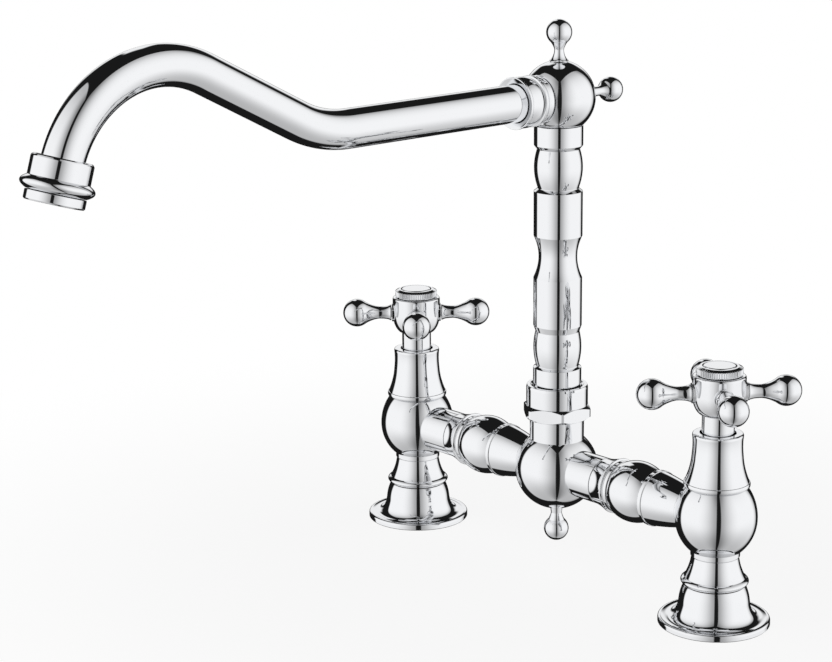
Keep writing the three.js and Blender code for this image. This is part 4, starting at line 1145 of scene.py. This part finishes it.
def aerator_screen_mesh(s):
    """The perforated disc in the outlet, with rings of holes about 2 mm apart."""
    start = outlet_ends(s)[1] + 0.3 * MM
    end = start + 1.2 * MM
    plate = Outline(0, start).out(s.spout.thread_radius - 1.4 * MM).up(end).out(0)
    holes = []
    for ring, count in enumerate((1, 6, 12, 18)):
        for k in range(count):
            angle, reach = 2 * math.pi * k / count, 2.2 * MM * ring
            hole = rod(0.75 * MM, start - PAST, end + PAST, 12)
            holes.append(moved(hole, shift(reach * math.cos(angle), reach * math.sin(angle))))
    return combined(turned(plate, SMALL, 0.1 * MM), ("DIFFERENCE", merged(holes)))


# ---- One operator for each piece or group of like pieces ----


class FAUCET_OT_feet(Operator):
    """Makes the base escutcheons and their gaskets"""

    bl_idname = "faucet.feet"
    bl_label = "Feet"

    def execute(self, context):
        s = context.scene.faucet
        gasket = ("base_gasket", gasket_outline(s), "black_rubber", None)
        show_on_pillars(s, ("base_escutcheon", foot_outline(s), "chrome", None), gasket)
        return {"FINISHED"}


class FAUCET_OT_shanks(Operator):
    """Makes the threaded shanks inside the feet"""

    bl_idname = "faucet.shanks"
    bl_label = "Threaded shanks"

    def execute(self, context):
        s = context.scene.faucet
        show_on_pillars(s, ("threaded_shank", shank_outline(s), "brass", 0.1 * MM))
        return {"FINISHED"}


class FAUCET_OT_valve_bodies(Operator):
    """Makes the valve bodies, one with a spigot and one with a socket towards the bridge"""

    bl_idname = "faucet.valve_bodies"
    bl_label = "Valve bodies"

    def execute(self, context):
        s = context.scene.faucet
        radius = s.body.bulb_radius
        ports = {
            "left": (("UNION", spigot(s)), ("DIFFERENCE", spigot_bore(s))),
            "right": (("UNION", socket_boss(s, radius)), ("DIFFERENCE", socket_bore(s, radius))),
        }
        for side, x in sides(s.layout):
            mesh = combined(turned(valve_body_outline(s), LARGE), *ports[side])
            show(f"{side}_valve_body", moved(mesh, shift(x)), FIXED)
        return {"FINISHED"}


class FAUCET_OT_bonnets(Operator):
    """Makes the bell-shaped covers over the cartridges"""

    bl_idname = "faucet.bonnets"
    bl_label = "Bonnets"

    def execute(self, context):
        s = context.scene.faucet
        show_on_pillars(s, ("bonnet", bonnet_outline(s), "chrome", None))
        return {"FINISHED"}


def handle_matrices(s):
    """Side, body and place of each handle."""
    angles = (s.handle.left_angle, s.handle.right_angle)
    for (side, x), turned_by in zip(sides(s.layout), angles):
        yield side, HANDLES[side], shift(x) @ Matrix.Rotation(turned_by, 4, "Z")


class FAUCET_OT_hubs(Operator):
    """Makes the hubs of the cross handles, with a boss and a threaded hole for each arm"""

    bl_idname = "faucet.hubs"
    bl_label = "Handle hubs"

    def execute(self, context):
        s = context.scene.faucet
        handle = s.handle
        up = shift(z=s.layout.handle_height)
        boss = Outline(0, 10 * MM).out(handle.boss_radius).up(handle.boss_reach).out(0)
        for side, body, place in handle_matrices(s):
            bosses, holes = [], []
            for quarter in range(4):
                where = (ALONG_X, turn(90 * quarter, "Z"), up)
                hole = rod(2.8 * MM, handle.boss_reach - 6.2 * MM, handle.boss_reach + PAST, 32)
                bosses.append(moved(turned(boss, SMALL, 0.15 * MM), *where))
                holes.append(moved(hole, *where))
            steps = (("UNION", merged(bosses)), ("DIFFERENCE", merged(holes)))
            hub = combined(turned(hub_outline(s), LARGE), *steps)
            show(f"{side}_handle_hub", moved(hub, place), body)
        return {"FINISHED"}


class FAUCET_OT_arms(Operator):
    """Makes the four turned arms of each handle"""

    bl_idname = "faucet.arms"
    bl_label = "Handle arms"

    def execute(self, context):
        s = context.scene.faucet
        up = shift(z=s.layout.handle_height)
        for side, body, place in handle_matrices(s):
            for quarter in range(4):
                arm = moved(turned(arm_outline(s), SMALL), ALONG_X, turn(90 * quarter, "Z"), up, place)
                show(f"{side}_handle_arm_{quarter + 1}", arm, body)
        return {"FINISHED"}


class FAUCET_OT_index(Operator):
    """Makes the knurled index rings and the bare buttons in them"""

    bl_idname = "faucet.index"
    bl_label = "Index rings and buttons"

    def execute(self, context):
        s = context.scene.faucet
        for side, body, place in handle_matrices(s):
            show(f"{side}_index_ring", moved(index_ring_mesh(s), place), body)
            show(f"{side}_index_button", moved(turned(button_outline(s), MEDIUM), place), body)
        return {"FINISHED"}


class FAUCET_OT_bridge(Operator):
    """Makes the union collars and the bridge sleeves"""

    bl_idname = "faucet.bridge"
    bl_label = "Bridge"

    def execute(self, context):
        s = context.scene.faucet
        halves = (("left", -s.layout.half_span, s.centre.ball_radius), ("right", 0, s.body.bulb_radius))
        for side, x, far_radius in halves:
            collar = at_bridge(s, turned(union_collar_outline(s), MEDIUM))
            show(f"{side}_union_collar", moved(collar, shift(x)), FIXED)
            sleeve = at_bridge(s, turned(bridge_sleeve_outline(s, far_radius), MEDIUM))
            show(f"{side}_bridge_sleeve", moved(sleeve, shift(x)), FIXED)
        return {"FINISHED"}


class FAUCET_OT_centre(Operator):
    """Makes the centre body with its ball, spigot, socket and neck"""

    bl_idname = "faucet.centre"
    bl_label = "Centre body"

    def execute(self, context):
        s = context.scene.faucet
        radius = s.centre.ball_radius
        mesh = combined(
            turned(centre_outline(s), LARGE),
            ("UNION", spigot(s)),
            ("UNION", socket_boss(s, radius)),
            ("DIFFERENCE", spigot_bore(s)),
            ("DIFFERENCE", socket_bore(s, radius)),
        )
        show("centre_body", mesh, FIXED)
        return {"FINISHED"}


class FAUCET_OT_nut(Operator):
    """Makes the union nut"""

    bl_idname = "faucet.nut"
    bl_label = "Union nut"

    def execute(self, context):
        show("union_nut", union_nut_mesh(context.scene.faucet), FIXED)
        return {"FINISHED"}


class FAUCET_OT_riser(Operator):
    """Makes the turned riser"""

    bl_idname = "faucet.riser"
    bl_label = "Riser"

    def execute(self, context):
        show("riser_column", turned(riser_outline(context.scene.faucet), MEDIUM), SPOUT)
        return {"FINISHED"}


class FAUCET_OT_head(Operator):
    """Makes the ball head"""

    bl_idname = "faucet.head"
    bl_label = "Ball head"

    def execute(self, context):
        show("ball_head", ball_head_mesh(context.scene.faucet), SPOUT)
        return {"FINISHED"}


class FAUCET_OT_finials(Operator):
    """Makes the top, the back and the bottom finial"""

    bl_idname = "faucet.finials"
    bl_label = "Finials"

    def execute(self, context):
        s = context.scene.faucet
        head, gap = s.head, s.layout.seat_gap
        seat = shift(z=flat_reach(head.radius, head.seat_radius) + gap)
        drop = shift(z=s.centre.ball_height - flat_reach(s.centre.ball_radius, head.finial_base) - gap)
        upper = shift(z=s.layout.arm_height)
        usual, lowest = (head.finial_base, head.finial_neck), (head.drop_base, head.drop_neck)
        rows = (
            ("top_finial", SPOUT, usual, head.top_reach, (seat, upper)),
            ("side_finial", SPOUT, usual, head.side_reach, (seat, ALONG_Y, upper)),
            ("bottom_finial", FIXED, lowest, head.drop_reach, (UPSIDE_DOWN, drop)),
        )
        for node, body, widths, reach, where in rows:
            show(node, moved(turned(finial_outline(s, *widths, reach), SMALL), *where), body)
        return {"FINISHED"}


class FAUCET_OT_spout(Operator):
    """Makes the spout's collar and its bent tube"""

    bl_idname = "faucet.spout"
    bl_label = "Spout"

    def execute(self, context):
        s = context.scene.faucet
        face = flat_reach(s.head.radius, s.head.face_radius) + s.layout.seat_gap
        collar = turned(spout_collar_outline(s), MEDIUM, 0.2 * MM)
        moved(collar, shift(z=face), ALONG_MINUS_Y, shift(z=s.layout.arm_height))
        show("spout_collar", collar, SPOUT)
        show("spout_tube", spout_tube_mesh(s), SPOUT)
        return {"FINISHED"}


class FAUCET_OT_outlet(Operator):
    """Makes the outlet's collar, the aerator's housing and its screen"""

    bl_idname = "faucet.outlet"
    bl_label = "Outlet"

    def execute(self, context):
        s = context.scene.faucet
        place = outlet_matrix(s)
        show("outlet_collar", moved(turned(outlet_collar_outline(s), MEDIUM), place), SPOUT)
        show("aerator_housing", moved(turned(aerator_housing_outline(s), MEDIUM), place), SPOUT)
        show("aerator_screen", moved(aerator_screen_mesh(s), place), SPOUT, "acetal")
        return {"FINISHED"}


INNER_PIECES = {
    "black_rubber": ("seat_seal", "bridge_seal", "riser_lower_seal", "riser_upper_seal", "aerator_washer"),
    "alumina": ("fixed_ceramic_disc", "moving_ceramic_disc"),
    "brass": ("cartridge_body", "cartridge_spindle"),
    "steel": ("handle_screw",),
    "acetal": ("swivel_washer",),
}


class FAUCET_OT_inner_pieces(Operator):
    """Gives the seals, discs, cartridges and screws inside the faucet their finishes"""

    bl_idname = "faucet.inner_pieces"
    bl_label = "Pieces inside"

    def execute(self, context):
        for slot, endings in INNER_PIECES.items():
            for node, piece in frame["nodes"].items():
                if node.endswith(endings):
                    piece.data.materials.clear()
                    piece.data.materials.append(finish(slot))
        return {"FINISHED"}


# ---- Studio ----

WALL_ANGLE = math.radians(62)  # from the camera to the middle of each soft wall


def product_of_fades(tree, rows):
    """The product of smooth fades, each given by its value, start, end and the levels before and after."""
    product = 1.0
    for value, start, end, low, high in rows:
        span = {"Value": value, "From Min": start, "From Max": end, "To Min": low, "To Max": high}
        fade = add_node(tree, "MapRange", span, interpolation_type="SMOOTHSTEP")
        product = add_node(tree, "Math", {0: product, 1: fade}, operation="MULTIPLY")
    return product


def make_world(studio):
    """A white studio: tall soft walls left and right of the camera, dark above, white behind the faucet."""
    world = bpy.data.worlds.new("soft_studio")
    bpy.context.scene.world = world
    world.use_nodes = True
    tree = world.node_tree
    tree.nodes.clear()
    direction = add_node(tree, "TexCoord").outputs["Generated"]
    from_camera = {"Vector": direction, "Rotation": (0, 0, -studio.heading)}
    facing = add_node(tree, "Mapping", from_camera, vector_type="POINT")
    sideways, ahead, up = add_node(tree, "SeparateXYZ", {"Vector": facing}).outputs
    folded = add_node(tree, "Math", {0: sideways}, operation="ABSOLUTE")
    # Where a ray meets a wall one metre away: its level there, and its place along the wall. The distance is
    # never quite zero, so that both can be divided by it.
    across, back = math.sin(WALL_ANGLE), math.cos(WALL_ANGLE)
    place = add_node(tree, "CombineXYZ", {"X": folded, "Y": ahead})
    out = add_node(tree, "VectorMath", {0: place, 1: (across, -back, 0)}, operation="DOT_PRODUCT")
    out = add_node(tree, "Math", {0: out.outputs["Value"], 1: 1e-4}, operation="MAXIMUM")
    along = add_node(tree, "VectorMath", {0: place, 1: (back, across, 0)}, operation="DOT_PRODUCT")
    level = add_node(tree, "Math", {0: up, 1: out}, operation="DIVIDE")
    side = add_node(tree, "Math", {0: along.outputs["Value"], 1: out}, operation="DIVIDE")
    # The compass direction of a ray, and how far it points behind the faucet. The left wall ends sooner.
    compass = add_node(tree, "VectorMath", {0: facing, 1: (1, 1, 0)}, operation="MULTIPLY")
    compass = add_node(tree, "VectorMath", {0: compass}, operation="NORMALIZE")
    behind = add_node(tree, "VectorMath", {0: compass, 1: (-0.25, 1, 0)}, operation="DOT_PRODUCT")
    east, north, _ = add_node(tree, "SeparateXYZ", {"Vector": compass}).outputs
    walls = (
        (side, -1.56, -1.38, 0.0, 1.0),
        (side, -1.45, 0.0, 0.45, 1.12),
        (side, 1.2, 2.6, 1.0, 0.6),
        (side, 2.6, 3.2, 1.0, 0.0),
        (behind.outputs["Value"], 0.69, 0.76, 1.0, 0.0),
        (level, 0.2, 2.4, 1.0, 0.5),
        (level, 2.6, 2.8, 1.0, 0.0),
        (up, -1.0, -0.15, 0.5, 1.0),
    )
    # Behind the faucet: a low backdrop, and a taller card left of it.
    backdrop = ((north, 0.86, 0.95, 0.0, 1.0), (up, 0.0, 0.15, 0.0, 1.0), (up, 0.34, 0.45, 1.0, 0.0))
    card = (
        (north, 0.5, 0.8, 0.0, 1.0),
        (east, -0.31, -0.25, 0.0, 1.0),
        (east, -0.09, -0.04, 1.0, 0.0),
        (up, 0.1, 0.25, 0.0, 1.0),
        (up, 0.62, 0.75, 1.0, 0.0),
    )
    strength = 0.012  # what is left in the dark
    for rows in (walls, backdrop, card):
        strength = add_node(tree, "Math", {0: strength, 1: product_of_fades(tree, rows)}, operation="MAXIMUM")
    rays = add_node(tree, "LightPath").outputs
    light = add_node(tree, "Background", {"Color": (1, 1, 1, 1), "Strength": strength})
    white = add_node(tree, "Background", {"Color": (1, 1, 1, 1), "Strength": 1.0})
    mix = add_node(tree, "MixShader", {0: rays["Is Camera Ray"], 1: light, 2: white})
    add_node(tree, "OutputWorld", {"Surface": mix})


def make_floor(tint):
    """A plain pale floor. It keeps the soft shadow near the faucet and runs out into the white background."""
    work = bmesh.new()
    bmesh.ops.create_grid(work, x_segments=8, y_segments=8, size=8)
    floor = new_object("floor", finished_mesh(work))
    floor.location.z = -0.1 * MM
    floor.visible_glossy = False
    material, tree = new_material("matt_white_sheet")
    place = add_node(tree, "TexCoord").outputs["Object"]
    reach = add_node(tree, "VectorMath", {0: place}, operation="LENGTH").outputs["Value"]
    open_share = product_of_fades(tree, ((reach, 0.1, 0.45, 0.88, 1.0),))
    rays = add_node(tree, "LightPath").outputs
    seen = rays["Is Camera Ray"]
    for ray in ("Is Glossy Ray", "Is Transmission Ray"):
        seen = add_node(tree, "Math", {0: seen, 1: rays[ray]}, operation="MAXIMUM")
    factor = add_node(tree, "Math", {0: seen, 1: open_share}, operation="MULTIPLY")
    matt = add_node(tree, "BsdfDiffuse", {"Color": (*tint, 1)})
    glow = add_node(tree, "Emission", {"Color": (1, 1, 1, 1), "Strength": 1.0})
    mix = add_node(tree, "MixShader", {0: factor, 1: matt, 2: glow})
    add_node(tree, "OutputMaterial", {"Surface": mix})
    floor.data.materials.append(material)


def make_camera(studio):
    """The camera that fits the photograph."""
    a, t, r = studio.heading, studio.tilt, studio.roll
    level, back = Vector((math.cos(a), math.sin(a), 0)), Vector((math.sin(a), -math.cos(a), 0))
    place = level * studio.sideways + back * studio.distance + Vector((0, 0, studio.height))
    ahead = Vector((0, 0, -math.sin(t))) - back * math.cos(t)
    upright = level.cross(ahead)
    right = level * math.cos(r) + upright * math.sin(r)
    above = upright * math.cos(r) - level * math.sin(r)
    data = bpy.data.cameras.new("camera")
    data.sensor_fit = "HORIZONTAL"
    data.sensor_width = 36
    data.lens = studio.lens
    data.clip_start, data.clip_end = 0.01, 100
    camera = new_object("camera", data)
    camera.matrix_world = Matrix.Translation(place) @ Matrix((right, above, -ahead)).transposed().to_4x4()
    bpy.context.scene.camera = camera


class FAUCET_OT_stage(Operator):
    """Makes the floor, the light and the camera"""

    bl_idname = "faucet.stage"
    bl_label = "Stage"

    def execute(self, context):
        s = context.scene.faucet
        context.scene.view_settings.view_transform = "Standard"
        make_world(s.studio)
        make_floor(s.colours.floor)
        make_camera(s.studio)
        return {"FINISHED"}


OPERATORS = (
    FAUCET_OT_feet, FAUCET_OT_shanks, FAUCET_OT_valve_bodies, FAUCET_OT_bonnets, FAUCET_OT_hubs,
    FAUCET_OT_arms, FAUCET_OT_index, FAUCET_OT_bridge, FAUCET_OT_centre, FAUCET_OT_nut, FAUCET_OT_riser,
    FAUCET_OT_head, FAUCET_OT_finials, FAUCET_OT_spout, FAUCET_OT_outlet, FAUCET_OT_inner_pieces,
    FAUCET_OT_stage,
)


class FAUCET_PT_panel(Panel):
    """Lists the pieces of the faucet"""

    bl_label = "Bridge kitchen faucet"
    bl_idname = "FAUCET_PT_panel"
    bl_space_type = "VIEW_3D"
    bl_region_type = "UI"
    bl_category = "Faucet"

    def draw(self, context):
        for operator in OPERATORS:
            self.layout.operator(operator.bl_idname)


CLASSES = (*GROUPS.values(), FaucetSettings, *OPERATORS, FAUCET_PT_panel)


def register():
    for kind in CLASSES:
        bpy.utils.register_class(kind)
    bpy.types.Scene.faucet = PointerProperty(type=FaucetSettings)


def unregister():
    del bpy.types.Scene.faucet
    for kind in reversed(CLASSES):
        bpy.utils.unregister_class(kind)


def main():
    register()
    for operator in OPERATORS:
        group, name = operator.bl_idname.split(".")
        getattr(getattr(bpy.ops, group), name)()


if __name__ == "__main__":
    main()
